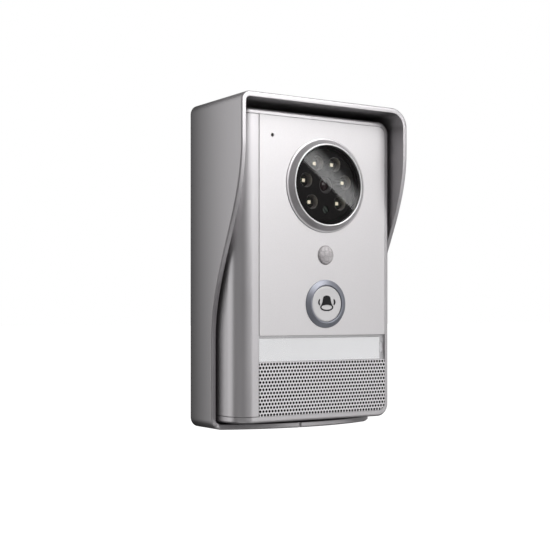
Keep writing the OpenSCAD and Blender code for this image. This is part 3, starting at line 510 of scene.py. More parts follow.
def painted(name, colour, metallic, roughness, grain=3200.0, depth=0.006 * MM, foot=None):
    """Fine metallic paint with a faint flake grain and an even, slightly cloudy gloss.

    With a foot, (depth, near, far), the colour carries painted shade: it grows from its near share at the wall
    to its far share at that depth, darker towards the wall as if in shade there. Faces that look forward keep
    their whole colour, and faces that look back most of it.
    """
    finish = Finish(name)
    flake = finish.noise(grain, detail=2.0)
    cloud = finish.noise(45.0, detail=3.0)
    tone = finish.mix(flake * 0.6 + cloud * 0.4, shaded(colour, 0.95), shaded(colour, 1.05))
    # Painted shade: the colour darkens towards the wall, where the hood would be in shade.
    if foot:
        wall_shade_depth, near, far = foot
        left = finish.ramp(finish.part(finish.place, "Y"), -wall_shade_depth, 0.0)
        share = far - (far - near) * finish.maths("POWER", left, 1.7)
        facing = finish.part(finish.node("TexCoord", output="Normal"), "Y")
        spared_from_shade = finish.ramp(facing, -0.4, -0.85) + finish.ramp(facing, 0.5, 0.95) * 0.75
        tone = finish.mix(share + (1.0 - share) * spared_from_shade, (0, 0, 0, 1), tone)
    return finish.surface(
        Base_Color=tone,
        Metallic=metallic,
        Roughness=roughness - 0.04 + cloud * 0.08,
        Normal=finish.bump(flake, depth))


def blasted(name, colour, metallic, roughness):
    """Anodised sheet with a bead-blasted grain."""
    finish = Finish(name)
    grain = finish.noise(1500.0, detail=3.0, roughness=0.7)
    cloud = finish.noise(30.0, detail=2.0)
    return finish.surface(
        Base_Color=finish.mix(grain * 0.75 + cloud * 0.25, shaded(colour, 0.93), shaded(colour, 1.07)),
        Metallic=metallic,
        Roughness=roughness - 0.05 + grain * 0.1,
        Normal=finish.bump(grain, 0.008 * MM))


def moulded(name, colour, roughness=0.45, specular=0.5, depth=0.01 * MM, grain=1800.0):
    """Moulded plastic or rubber with a fine spark-eroded texture."""
    finish = Finish(name)
    texture = finish.noise(grain, detail=3.0)
    cloud = finish.noise(60.0)
    return finish.surface(
        Base_Color=finish.mix(cloud, shaded(colour, 0.88), shaded(colour, 1.12)),
        Roughness=roughness - 0.06 + texture * 0.12,
        Specular_IOR_Level=specular,
        Normal=finish.bump(texture, depth))


def metal(name, colour, roughness=0.3, streak=(1, 1, 1)):
    """Bare metal with fine tool marks."""
    finish = Finish(name)
    marks = finish.noise(900.0, detail=3.0, stretch=streak)
    return finish.surface(
        Base_Color=finish.mix(marks, shaded(colour, 0.9), shaded(colour, 1.08)),
        Metallic=1.0,
        Roughness=roughness - 0.06 + marks * 0.14,
        Normal=finish.bump(marks, 0.004 * MM))


def clear(name, colour, alpha, roughness=0.04, ior=1.5):
    """A clear or tinted pane that lets through what alpha leaves."""
    finish = Finish(name)
    haze = finish.noise(70.0, detail=2.0)
    return finish.surface(
        Base_Color=finish.mix(haze, shaded(colour, 0.97), shaded(colour, 1.03)),
        Roughness=roughness,
        IOR=ior,
        Alpha=alpha)


def frosted(name, colour, roughness=0.35):
    """Milky plastic that light soaks into."""
    finish = Finish(name)
    cloud = finish.noise(400.0, detail=2.0)
    return finish.surface(
        Base_Color=finish.mix(cloud, shaded(colour, 0.94), shaded(colour, 1.03)),
        Roughness=roughness - 0.03 + cloud * 0.06,
        Subsurface_Weight=0.25,
        Subsurface_Radius=(0.001, 0.001, 0.001),
        Normal=finish.bump(cloud, 0.006 * MM))


def circuit(name, colour):
    """Solder mask over copper tracks, with tinned pads."""
    finish = Finish(name)
    tracks = finish.node("TexBrick", {"offset": 0.35, "squash": 1.0}, {
        "Vector": finish.node("Mapping", inputs={"Vector": finish.place, "Rotation": (math.pi / 2, 0, 0)}),
        "Scale": 260.0, "Mortar Size": 0.06, "Brick Width": 0.9, "Row Height": 0.35}, output="Fac")
    dots = finish.node("TexVoronoi", {"feature": "F1"}, {"Vector": finish.place, "Scale": 420.0})
    pads = dots < 0.16
    mask = finish.mix(tracks, colour, shaded(colour, 1.9))
    return finish.surface(
        Base_Color=finish.mix(pads, mask, (0.7, 0.66, 0.55, 1)),
        Metallic=pads * 0.9,
        Roughness=0.32 - pads * 0.06 + tracks * 0.05,
        Normal=finish.bump(tracks + pads, 0.03 * MM))


def woven(name, colour):
    """Fine speaker cloth."""
    finish = Finish(name)
    warp = finish.node("TexWave", {"bands_direction": "X"}, {"Vector": finish.place, "Scale": 900.0})
    weft = finish.node("TexWave", {"bands_direction": "Z"}, {"Vector": finish.place, "Scale": 900.0})
    threads = warp * weft
    return finish.surface(
        Base_Color=finish.mix(threads, shaded(colour, 0.5), shaded(colour, 1.4)),
        Roughness=0.92,
        Specular_IOR_Level=0.1,
        Normal=finish.bump(threads, 0.06 * MM))


# ---- Operators: one for each group of pieces ----

class STATION_OT_hood(bpy.types.Operator):
    """Models the rain hood: its swept sides, canopy, bowed lip and back plate."""
    bl_idname = "station.hood"
    bl_label = "Rain hood"

    def execute(self, context):
        shell = context.scene.station_shell
        low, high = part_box("rain_hood")
        hood = block("hood_shell", low, high)
        corners = ((low.x, shell.hood_left_radius, 10), (high.x, shell.hood_right_radius, 16))
        for side, radius, segments in corners:
            for end in (low.z, high.z):
                round_edges(hood, radius, segments, lies_at(x=side, z=end))
        self.hollow(hood, low, shell)
        self.sweep(hood, low, high, shell)
        self.round_rim(hood, shell)
        self.drill(hood, low, high, shell)
        shade(hood)
        silver = context.scene.station_colours.silver
        # The hood's paint carries painted shade that darkens it towards the wall.
        paint = painted("hood_paint", silver, 0.75, 0.38, foot=(46 * MM, 0.17, 0.84))
        finish_piece(hood, "station", paint, "hood_paint", "rain_hood")
        return {"FINISHED"}

    def hollow(self, hood, low, shell):
        """Presses the cavity into the block's front, down to the back plate."""
        edit(hood)
        pick(hood, "FACE", lies_at(y=low.y))
        bpy.ops.mesh.inset(thickness=shell.hood_wall, use_even_offset=True)
        bpy.ops.mesh.extrude_region_move(
            TRANSFORM_OT_translate={"value": (0, -low.y - shell.hood_back, 0)})
        bpy.ops.mesh.select_all(action="SELECT")
        bpy.ops.mesh.normals_make_consistent(inside=False)
        leave()

    def lip_depth(self, across, half_w, shell):
        """The bowed lip's depth at a distance from the hood's middle."""
        rise = shell.lip_reach - shell.low_depth
        radius = (half_w ** 2 + rise ** 2) / (2 * rise)
        return shell.lip_reach - radius + math.sqrt(radius ** 2 - across ** 2)

    def sweep(self, hood, low, high, shell):
        """Cuts the walls into strips, then moves the rim back to the sides' sweep and to the lip's bow."""
        depth, half_w, wall = -low.y, high.x, shell.hood_wall
        near_wall = 1.5 * wall
        sweep_top = high.z - shell.sweep_drop
        sweep_steps, lip_steps = 30, 22
        edit(hood)
        for step in range(sweep_steps + 1):
            level = sweep_top - shell.sweep_height * step / sweep_steps
            pick(hood, "FACE", lambda face: abs(face.calc_center_median().x) > half_w - near_wall)
            bpy.ops.mesh.bisect(plane_co=(0, 0, level), plane_no=(0, 0, 1))
        lip_left = low.x + shell.hood_left_radius
        lip_right = high.x - shell.hood_right_radius
        for step in range(1, lip_steps):
            across = lip_left + (lip_right - lip_left) * step / lip_steps
            pick(hood, "FACE", lambda face: face.calc_center_median().z < low.z + near_wall)
            bpy.ops.mesh.bisect(plane_co=(across, 0, 0), plane_no=(1, 0, 0))

        def rim_depth(place):
            share = min(max((sweep_top - place.z) / shell.sweep_height, 0), 1)
            side = depth - (depth - shell.low_depth) * (1 - math.cos(math.pi * share)) / 2
            if place.z > low.z + shell.hood_right_radius + SLACK:
                return side
            inside = place.z > low.z + wall / 2 and abs(place.x) < half_w - wall / 2
            across = min(half_w, abs(place.x) * (half_w / (half_w - wall) if inside else 1))
            return max(side, self.lip_depth(across, half_w, shell))

        def on_rim(vert):
            return vert.co.y < low.y + SLACK

        def slacks_back(vert):
            return round((depth - rim_depth(vert.co)) / SLACK)

        mesh = bmesh.from_edit_mesh(hood.data)
        for shift in sorted({slacks_back(vert) for vert in mesh.verts if on_rim(vert)}):
            if shift > 0:
                pick(hood, "VERT", lambda vert: on_rim(vert) and slacks_back(vert) == shift)
                bpy.ops.transform.translate(value=(0, shift * SLACK, 0))
        leave()

    def round_rim(self, hood, shell):
        """Rounds the rim's two edges and the edge round the back plate."""
        def is_rim(face):
            return face.normal.y < -0.5 and face.calc_center_median().y < -shell.low_depth / 2

        def is_back(face):
            return face.normal.y > 0.9

        def is_wall(face, outward):
            centre = face.calc_center_median()
            facing = face.normal.x * centre.x + face.normal.z * centre.z
            return abs(face.normal.y) < 0.3 and (facing > 0) == outward

        def is_outer(face):
            return is_wall(face, True)

        def is_inner(face):
            return is_wall(face, False)

        def between(first, second):
            return lambda edge: len(edge.link_faces) == 2 and any(map(first, edge.link_faces)) \
                and any(map(second, edge.link_faces))

        round_edges(hood, shell.rim_round, 4, between(is_rim, is_outer))
        round_edges(hood, shell.rim_round_inner, 2, between(is_rim, is_inner))
        round_edges(hood, shell.rim_round_inner, 2, between(is_back, is_outer))

    def drill(self, hood, low, high, shell):
        """Opens the holes for the wall screws, the cable, the lock screw and the rain water."""
        screws = next(mount["dims"] for mount in frame["record"]["mounts"] if mount["name"] == "wall_screws")
        screw_z = screws["spacing_y_mm"] * MM / 2
        screw_r = screws["hole_r_mm"] * MM
        cable_r = 8 * MM
        holes = ((0, screw_z, screw_r), (0, -screw_z, screw_r), (*middle_of("cable_grommet"), cable_r))
        for x, z, radius in holes:
            combine(hood, rod("drill", x, z, radius, -2 * OVERCUT, shell.hood_back + 2 * OVERCUT))

        lock_low, lock_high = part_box("lock_screw")
        lock_x, lock_depth = (lock_low.x + lock_high.x) / 2, -(lock_low.y + lock_high.y) / 2
        head_r = (lock_high.x - lock_low.x) / 2 + 0.2 * MM
        shank_r, head_height = 1.7 * MM, 1.6 * MM
        under, over = low.z - OVERCUT, low.z + shell.hood_wall + OVERCUT
        combine(hood, post("drill", lock_x, lock_depth, shank_r, under, over))
        combine(hood, post("drill", lock_x, lock_depth, head_r, under, lock_low.z + head_height))
        drain_x, drain_r = -5.5 * MM, 0.8 * MM
        combine(hood, post("drill", drain_x, self.lip_depth(drain_x, high.x, shell), drain_r, under, over, 24))


class STATION_OT_housing(bpy.types.Operator):
    """Models the housing, with its recess for the plates and its openings, and the cover of its round spine."""
    bl_idname = "station.housing"
    bl_label = "Housing"

    def execute(self, context):
        shell = context.scene.station_shell
        silver = context.scene.station_colours.silver
        low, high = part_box("housing")
        body = self.outside(low, high, shell)
        self.recess(body, low, high, shell)
        self.hollow(body, low, high, shell)
        self.openings(body, shell, context.scene.station_front)
        shade(body)
        body_paint = painted("housing_paint", silver, 0.75, 0.36)
        finish_piece(body, "station", body_paint, "housing_silver", "housing")
        spine = self.spine(low, high, shell)
        spine_paint = painted("spine_paint", silver, 0.75, 0.38)
        finish_piece(spine, "station", spine_paint, "housing_silver", "spine_cover")
        return {"FINISHED"}

    def outside(self, low, high, shell):
        """The rounded block, its left side round as the spine."""
        body = block("body_housing", low, high)
        for end in (low.z, high.z):
            round_edges(body, shell.body_corner, 12, lies_at(x=high.x, z=end))
        round_edges(body, shell.spine_radius, 20, lies_at(x=low.x, y=low.y))

        def is_end(face):
            return abs(face.normal.y) < 0.01 and (face.normal.x > 0.01 or abs(face.normal.z) > 0.3)

        def is_front(face):
            return face.normal.y < -0.01 or (face.normal.x < -0.9)

        round_edges(body, shell.body_round, 4, lambda edge: len(edge.link_faces) == 2
                    and any(map(is_end, edge.link_faces)) and any(map(is_front, edge.link_faces)))
        return body

    def recess(self, body, low, high, shell):
        """Sinks the front for the plates, and the left side for the spine cover."""
        panel_low, panel_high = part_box("front_panel")
        spine_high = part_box("spine_cover")[1]
        seam, beyond = shell.seam, 5 * OVERCUT
        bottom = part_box("speaker_grille")[0].z - seam
        top = panel_high.z + seam
        plates = block("cutter", (panel_low.x - seam / 2 - SLACK, low.y - beyond, bottom),
                       (panel_high.x + seam, panel_high.y, top))
        for end in (bottom, top):
            round_edges(plates, shell.plate_corner, 8, lies_at(x=panel_high.x + seam, z=end))
        combine(body, plates)
        inset = shell.spine_wall + FIT
        beside = block("cutter", (low.x - beyond, low.y - beyond, bottom),
                       (spine_high.x + seam / 2, spine_high.y + seam, top))
        core = block("core", (low.x + inset, low.y + inset, low.z), (high.x, high.y + OVERCUT, high.z))
        round_edges(core, shell.spine_radius - inset, 16, lies_at(x=low.x + inset, y=low.y + inset))
        combine(beside, core)
        combine(body, beside)

    def hollow(self, body, low, high, shell):
        """Cuts the cavity, open at the back."""
        wall, inset = shell.case_wall, shell.spine_wall + FIT
        left = low.x + inset + wall
        web_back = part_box("front_panel")[1].y + shell.web
        cavity = block("cutter", (left, web_back, low.z + wall),
                       (high.x - wall, high.y + 5 * OVERCUT, high.z - wall))
        round_edges(cavity, shell.spine_radius - inset - wall, 8, lies_at(x=left, y=web_back))
        combine(body, cavity)

    def openings(self, body, shell, front):
        """Opens the front for what stands in the plates, and for the nameplate's light and clip."""
        panel_back = depths_of("front_panel")[0]
        near, far = panel_back - shell.web - 2 * OVERCUT, panel_back + 2 * OVERCUT
        for node, radius in (("camera_bezel", radius_of("camera_bezel") - BEZEL_OVERLAP),
                             ("pir_lens", radius_of("pir_lens") + FIT),
                             ("button_ring", radius_of("button_ring") - RING_OVERLAP),
                             ("microphone", front.mic_hole),
                             ("speaker_frame", radius_of("speaker_frame") - FRAME_OVERLAP)):
            combine(body, rod("drill", *middle_of(node), radius, near, far))
        guide_low, guide_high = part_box("light_guide")
        name_low, name_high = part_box("nameplate_window")
        ledge, end_strip = 1.1 * MM, 2.6 * MM
        combine(body, slab("drill", (name_low.x + ledge, name_high.x - end_strip), near, far,
                           (guide_low.z - FIT, guide_high.z + FIT)))
        slot_half = 2.55 * MM
        name_middle = (name_low.z + name_high.z) / 2
        combine(body, slab("drill", (name_high.x - 2.45 * MM, name_high.x - 0.95 * MM), near, far,
                           (name_middle - slot_half, name_middle + slot_half)))

    def spine(self, low, high, shell):
        """The thin, round cover on the housing's left side."""
        spine_low, spine_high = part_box("spine_cover")
        wall = shell.spine_wall
        spine = block("spine_trim", spine_low, spine_high)
        round_edges(spine, shell.spine_radius, 32, lies_at(x=spine_low.x, y=low.y))
        hollow = block("core", (low.x + wall, low.y + wall, spine_low.z - OVERCUT),
                       (spine_high.x + OVERCUT, high.y + OVERCUT, spine_high.z + OVERCUT))
        round_edges(hollow, shell.spine_radius - wall, 20, lies_at(x=low.x + wall, y=low.y + wall))
        combine(spine, hollow)
        soften(spine, shell.seam_round)
        return spine


class STATION_OT_plates(bpy.types.Operator):
    """Models the front panel with its openings."""
    bl_idname = "station.plates"
    bl_label = "Front panel"

    def execute(self, context):
        shell = context.scene.station_shell
        colours = context.scene.station_colours
        low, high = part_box("front_panel")
        near, far = -high.y - OVERCUT, -low.y + OVERCUT
        panel = block("face_plate", low, high)
        round_edges(panel, shell.plate_corner - shell.seam, 10, lies_at(x=high.x, z=high.z))
        for node, overlap in (("camera_bezel", BEZEL_OVERLAP), ("pir_lens", DOME_OVERLAP),
                              ("button_ring", RING_OVERLAP)):
            combine(panel, rod("drill", *middle_of(node), radius_of(node) - overlap, near, far))
        soften(panel, shell.seam_round, 3)
        mic_radius = context.scene.station_front.mic_hole / 2
        combine(panel, rod("drill", *middle_of("microphone"), mic_radius, near, far, 32))
        shade(panel)
        satin = blasted("panel_satin", colours.plate, 0.55, 0.42)
        finish_piece(panel, "station", satin, "panel_aluminium", "front_panel")
        return {"FINISHED"}


class STATION_OT_camera(bpy.types.Operator):
    """Models the camera: bezel, bright ring, window, lamp plate, infrared lamps, lens and light sensor."""
    bl_idname = "station.camera"
    bl_label = "Camera"

    def execute(self, context):
        front = context.scene.station_front
        x, z = middle_of("camera_bezel")
        self.bezel(front, context.scene.station_colours.silver, x, z)
        self.ring(x, z)
        self.pane(x, z)
        self.lamp_plate(front, x, z)
        self.lamps(front)
        self.lens(x, z)
        self.light_sensor()
        return {"FINISHED"}

    def bezel(self, front, silver, x, z):
        """The broad ring: a low flange, then a slope up to the window."""
        panel_face = depths_of("front_panel")[1]
        back, face = depths_of("camera_bezel")
        base = radius_of("camera_bezel")
        inner = base - front.bezel_slope
        skirt = base - MM
        flange, lift = front.bezel_flange, front.bezel_lift
        brow = rounded_profile([
            (base, panel_face), (base, panel_face + lift, lift * 0.6),
            (base - flange, panel_face + lift * 1.4, 0.85 * MM),
            (inner + 0.25 * MM, face - 0.2 * MM, 0.3 * MM), (inner, face)], 6)
        bezel = turned("camera_surround", x, z, brow + [
            (inner, face - 0.5 * MM), (inner, back), (skirt, back), (skirt, panel_face), (base, panel_face)])
        paint = painted("bezel_paint", silver, 0.72, 0.44)
        finish_piece(bezel, "station", paint, "bezel_silver", "camera_bezel")

    def ring(self, x, z):
        """The bright ring round the window."""
        back, face = depths_of("window_trim_ring")
        outer = radius_of("window_trim_ring")
        inner = outer - 0.8 * MM
        fillet = 0.3 * MM
        rim = turned("window_rim", x, z, rounded_profile([
            (inner, back), (outer, back), (outer, face, fillet), (inner, face, fillet), (inner, back)], 4))
        bright = painted("bright_ring", (0.95, 0.95, 0.95), 0.5, 0.3)
        finish_piece(rim, "station", bright, "bright_trim", "window_trim_ring")

    def pane(self, x, z):
        """The smoky window."""
        back, face = depths_of("camera_window")
        radius = radius_of("camera_window")
        pane = turned("window_pane", x, z, rounded_profile([
            (0, back), (radius, back), (radius, face, 0.2 * MM), (0, face)], 3))
        smoky = clear("tinted_pane", (0.006, 0.004, 0.004, 1), 0.28, 0.0, 1.7)
        finish_piece(pane, "station", smoky, "window_glass", "camera_window")

    def lamp_plate(self, front, x, z):
        """The black plate, with a cup for each lamp and holes for the lens and the light sensor."""
        back, face = depths_of("led_mask")
        cup, foot = front.cup_radius, radius_of("ir_led_1") - LAMP_FLANGE + CUP_FOOT_GAP
        near, far, hair = back - OVERCUT, face + OVERCUT, 0.001 * MM
        plate = rod("lamp_plate", x, z, radius_of("led_mask"), back, face)
        for i in range(1, LED_COUNT + 1):
            combine(plate, turned("cutter", *middle_of(f"ir_led_{i}"), [
                (0, near), (foot, near), (foot, face - CUP_DEPTH), (cup, face + hair), (cup, far),
                (0, far)], 48))
        for place, radius in ((middle_of("light_sensor"), radius_of("light_sensor")), ((x, z), LENS_NOSE)):
            combine(plate, rod("drill", *place, radius + FIT, near, far, 48))
        soften(plate, 0.08 * MM)
        black = moulded("lamp_plate_black", (0.004, 0.004, 0.004), 0.5, 0.3)
        finish_piece(plate, "station", black, "black_plastic", "led_mask")

    def lamps(self, front):
        """A domed lamp in each cup, the cup's grey lining and the lamp's die with its painted glint."""
        face = depths_of("led_mask")[1]
        back, tip = depths_of("ir_led_1")
        radius = radius_of("ir_led_1") - LAMP_FLANGE
        flange, foot, cup = radius + LAMP_FLANGE, radius + CUP_FOOT_GAP, front.cup_radius
        collar = back + MM
        skin, below_face, floor, hem = 0.12 * MM, 0.1 * MM, face - CUP_DEPTH, face - 3.2 * MM
        half = front.die_size / 2
        die_near, die_far = face - 2.6 * MM, face - 2.3 * MM
        epoxy, cup_grey, painted_glint = self.epoxy(), self.cup_grey(), self.painted_glint()
        for i in range(1, LED_COUNT + 1):
            node = f"ir_led_{i}"
            x, z = middle_of(node)
            lamp = turned(f"lamp_{i}", x, z, [
                (0, back), (flange, back), (flange, collar), (radius, collar), (radius, tip - radius),
                (radius * 0.924, tip - radius * 0.617), (radius * 0.707, tip - radius * 0.293),
                (radius * 0.383, tip - radius * 0.076), (0, tip)], 48)
            finish_piece(lamp, "station", epoxy, "led_epoxy", node)
            liner = turned(f"lamp_cup_{i}", x, z, [
                (foot, floor), (cup, face - below_face), (cup - skin, face - below_face), (foot - skin, floor),
                (foot - skin, hem), (foot, hem), (foot, floor)], 48)
            finish_piece(liner, "station", cup_grey, "black_plastic")
            die = slab(f"lamp_die_{i}", (x - half, x + half), die_near, die_far, (z - half, z + half))
            soften(die, 0.1 * MM)
            finish_piece(die, "station", painted_glint, "led_epoxy")

    def epoxy(self):
        """Clear, slightly smoky lamp resin."""
        finish = Finish("lamp_epoxy")
        cloud = finish.noise(500.0)
        return finish.surface(
            Base_Color=finish.mix(cloud, (0.16, 0.16, 0.15, 1), (0.22, 0.21, 0.2, 1)),
            Roughness=0.08 + cloud * 0.04,
            Alpha=0.25)

    def cup_grey(self):
        """Smooth grey of the cups."""
        finish = Finish("lamp_cup_grey")
        cloud = finish.noise(300.0)
        return finish.surface(
            Base_Color=finish.mix(cloud, (0.5, 0.49, 0.48, 1), (0.62, 0.61, 0.6, 1)),
            Metallic=0.3,
            Roughness=0.3 + cloud * 0.08)

    def painted_glint(self):
        """The warm die of a lamp, made bright by emission: a painted glint."""
        finish = Finish("lamp_die")
        bond = finish.noise(1500.0, detail=1.0)
        return finish.surface(
            Base_Color=finish.mix(bond, (0.75, 0.66, 0.45, 1), (0.95, 0.9, 0.75, 1)),
            Roughness=0.4,
            # Emission paints a bright glint on the die.
            Emission_Color=finish.mix(bond, (0.9, 0.78, 0.5, 1), (1.0, 0.96, 0.85, 1)),
            Emission_Strength=1.7)

    def lens(self, x, z):
        """The lens barrel with its stepped mouth, and the front glass."""
        back, face = depths_of("lens_barrel")
        outer = radius_of("lens_barrel")
        bore, mouth, throat = 1.6 * MM, LENS_NOSE - 0.5 * MM, LENS_NOSE - 1.3 * MM
        shoulder, seat, edge = depths_of("led_board")[0] - 0.6 * MM, face - 2.9 * MM, 0.1 * MM
        barrel = turned("lens_body", x, z, rounded_profile([
            (bore, back), (outer, back), (outer, shoulder, 0.3 * MM), (LENS_NOSE, shoulder),
            (LENS_NOSE, face, 0.15 * MM), (mouth, face, edge), (mouth - 0.4 * MM, face - 0.7 * MM, edge),
            (throat + 0.1 * MM, face - 0.75 * MM, edge), (throat, face - 1.3 * MM), (throat, seat),
            (bore, seat), (bore, back)], 3), 64)
        black = moulded("barrel_black", (0.12, 0.115, 0.115), 0.3)
        finish_piece(barrel, "station", black, "black_plastic", "lens_barrel")
        glass_back, glass_face = depths_of("lens_glass")
        radius = radius_of("lens_glass")
        crown = 0.9 * MM
        ball = (radius ** 2 + crown ** 2) / (2 * crown)
        steps = 8
        dome = []
        for i in range(steps + 1):
            away = radius * (1 - i / steps)
            dome.append((away, glass_face - ball + math.sqrt(ball ** 2 - away ** 2)))
        glass = turned("lens_front", x, z, [(0, glass_back), (radius, glass_back)] + dome, 64)
        coated = moulded("coated_glass", (0.05, 0.025, 0.03), 0.08, 0.8, 0.0, 50.0)
        finish_piece(glass, "station", coated, "lens_glass", "lens_glass")

    def light_sensor(self):
        """The small sensor that tells day from night."""
        back, face = depths_of("light_sensor")
        radius = radius_of("light_sensor")
        sensor = turned("dusk_sensor", *middle_of("light_sensor"), rounded_profile([
            (0, back), (radius, back), (radius, face, 0.4 * MM), (0, face)]), 48)
        finish_piece(sensor, "station", self.dusk(), "sensor_epoxy", "light_sensor")

    def dusk(self):
        """The zig-zag track of a light sensor under clear resin."""
        finish = Finish("dusk_resin")
        track = finish.node("TexWave", {"bands_direction": "DIAGONAL"}, {
            "Vector": finish.place, "Scale": 260.0, "Distortion": 3.0})
        return finish.surface(
            Base_Color=finish.mix(track, (0.02, 0.035, 0.03, 1), (0.08, 0.13, 0.1, 1)),
            Roughness=0.25 + track * 0.1,
            Coat_Weight=0.6,
            Coat_Roughness=0.05)


class STATION_OT_motion(bpy.types.Operator):
    """Models the motion sensor's faceted lens."""
    bl_idname = "station.motion"
    bl_label = "Motion sensor lens"

    def execute(self, context):
        front = context.scene.station_front
        back, face = depths_of("pir_lens")
        flange = radius_of("pir_lens")
        radius = flange - 1.1 * MM
        wall = 0.7 * MM
        panel_back, panel_face = depths_of("front_panel")
        rise = face - panel_face
        dome = turned("motion_dome", *middle_of("pir_lens"), [
            (radius - wall, back), (flange, back), (flange, panel_back), (radius, panel_back),
            (radius, panel_face), (radius * 0.9, panel_face + rise * 0.42),
            (radius * 0.58, panel_face + rise * 0.78), (radius * 0.24, panel_face + rise * 0.97), (0, face),
            (0, face - wall), (radius * 0.5, face - 1.1 * MM), (radius - wall, panel_face - 0.3 * MM),
            (radius - wall, back)], front.dome_facets * 2)
        soften(dome, 0.08 * MM, 2, 8)
        finish_piece(dome, "station", self.milk(), "pir_plastic", "pir_lens")
        return {"FINISHED"}

    def milk(self):
        """Milky plastic pressed into small lens cells with grey edges."""
        finish = Finish("motion_lens_milk")
        cells = finish.node("TexVoronoi", {"feature": "DISTANCE_TO_EDGE"}, {
            "Vector": finish.place, "Scale": 420.0, "Randomness": 0.35})
        field = finish.ramp(cells, 0.0, 0.1)
        cloud = finish.noise(500.0, detail=2.0)
        milk = finish.mix(cloud, (0.46, 0.43, 0.44, 1), (0.74, 0.71, 0.72, 1))
        return finish.surface(
            Base_Color=finish.mix(field, (0.42, 0.4, 0.41, 1), milk),
            Roughness=0.22 + cloud * 0.1,
            Subsurface_Weight=0.15,
            Subsurface_Radius=(0.001, 0.001, 0.001),
            Normal=finish.bump(field, 0.08 * MM))


class STATION_OT_button(bpy.types.Operator):
    """Models the call button: its ring, cap and bell symbol."""
    bl_idname = "station.button"
    bl_label = "Call button"

    def execute(self, context):
        colours = context.scene.station_colours
        x, z = middle_of("button_ring")
        cap_r = 8.3 * MM
        self.ring(x, z, cap_r + FIT, colours.ring)
        self.cap(x, z, cap_r, colours.cap)
        self.bell(x, z)
        return {"FINISHED"}

    def ring(self, x, z, bore, colour):
        """The sloping ring, with a skirt behind the panel."""
        back, face = depths_of("button_ring")
        panel_face = depths_of("front_panel")[1]
        outer = radius_of("button_ring")
        skirt = bore + 1.7 * MM
        ring = turned("button_surround", x, z, rounded_profile([
            (outer, panel_face), (outer - 0.05 * MM, panel_face + 0.35 * MM, 0.2 * MM),
            (bore + 0.7 * MM, face, 0.35 * MM), (bore, face, 0.3 * MM), (bore, back), (skirt, back),
            (skirt, panel_face), (outer, panel_face)], 4))
        finish_piece(ring, "station", painted("ring_metal", colour, 0.55, 0.42), "ring_grey", "button_ring")

    def cap(self, x, z, cap_r, colour):
        """The slightly hollow cap, with a flange that keeps it in and a stem to the switch."""
        back, face = depths_of("call_button")
        flange, stem = radius_of("call_button"), 2.35 * MM
        flange_back = depths_of("return_dome")[1]
        flange_face = flange_back + 1.2 * MM
        cap = turned("button_cap", x, z, rounded_profile([
            (0, back), (stem, back), (stem, flange_back), (flange, flange_back), (flange, flange_face),
            (cap_r, flange_face), (cap_r, face - 0.05 * MM, 0.35 * MM), (cap_r - 0.8 * MM, face, 0.3 * MM),
            (cap_r * 0.5, face - 0.12 * MM), (0, face - 0.15 * MM)], 4))
        finish_piece(cap, "button", painted("cap_satin", colour, 0.2, 0.42), "cap_grey", "call_button")

    def bell(self, x, z):
        """The printed bell: a dome that flares to an open mouth, with a crescent on each side."""
        node_near, far = depths_of("bell_symbol")
        low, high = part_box("bell_symbol")
        near = node_near - 0.1 * MM
        cut = (node_near - OVERCUT, far + OVERCUT)
        size = high.z - low.z
        dome_w, dome_h, dome_z = size * 0.29, size * 0.2, size * 0.34
        mouth_w, mouth_h, mouth_z = size * 0.51, size * 0.24, size * -0.22
        line = size * 0.08

        def oval(middle, half_w, half_h, behind, before):
            clear_selection()
            bpy.ops.mesh.primitive_cylinder_add(
                vertices=40, radius=1, depth=1, location=(x, -(behind + before) / 2, z + middle),
                rotation=(math.pi / 2, 0, 0))
            bpy.context.object.scale = (half_w, half_h, before - behind)
            return settle("oval")

        # How far down the bell, and how wide there, as shares of its height and of the dome's width
        flare = ((0.43, 1.17), (0.64, 1.36), (0.9, 1.62), (1.0, 1.74))
        levels = [z + dome_z - share * (dome_z - mouth_z) for share, width in flare]
        bell = slab("bell_mark", (x - dome_w, x + dome_w), near, far, (z + mouth_z, z + dome_z))
        edit(bell)
        for level in levels[:-1]:
            pick(bell, "FACE", lambda face: True)
            bpy.ops.mesh.bisect(plane_co=(0, 0, level), plane_no=(0, 0, 1))
        for level, (share, width) in zip(levels, flare):
            for side in (-1, 1):
                pick(bell, "VERT", lambda vert: abs(vert.co.z - level) < SLACK
                     and (vert.co.x - x) * side > SLACK)
                bpy.ops.transform.translate(value=(side * dome_w * (width - 1), 0, 0))
        leave()
        combine(bell, oval(dome_z, dome_w, dome_h, near, far), "UNION")
        combine(bell, oval(mouth_z, mouth_w, mouth_h, near, far), "UNION")
        combine(bell, oval(mouth_z, mouth_w - line, mouth_h - line, *cut))
        for side in (-1, 1):
            centre, height = x + side * size * 0.44, z + size * 0.11
            crescent = rod("crescent", centre, height, size * 0.235, near, far, 40)
            combine(crescent, rod("tool", centre - side * size * 0.06, height, size * 0.19, *cut, 40))
            keep_from = x + side * size * 0.545
            keep = sorted((keep_from, keep_from + side * size))
            combine(crescent, slab("tool", keep, *cut, (height - size, height + size)), "INTERSECT")
            combine(bell, crescent, "UNION")
        shade(bell)
        ink = moulded("symbol_ink", (0.012, 0.012, 0.014), 0.6, 0.25)
        finish_piece(bell, "button", ink, "symbol_black", "bell_symbol")


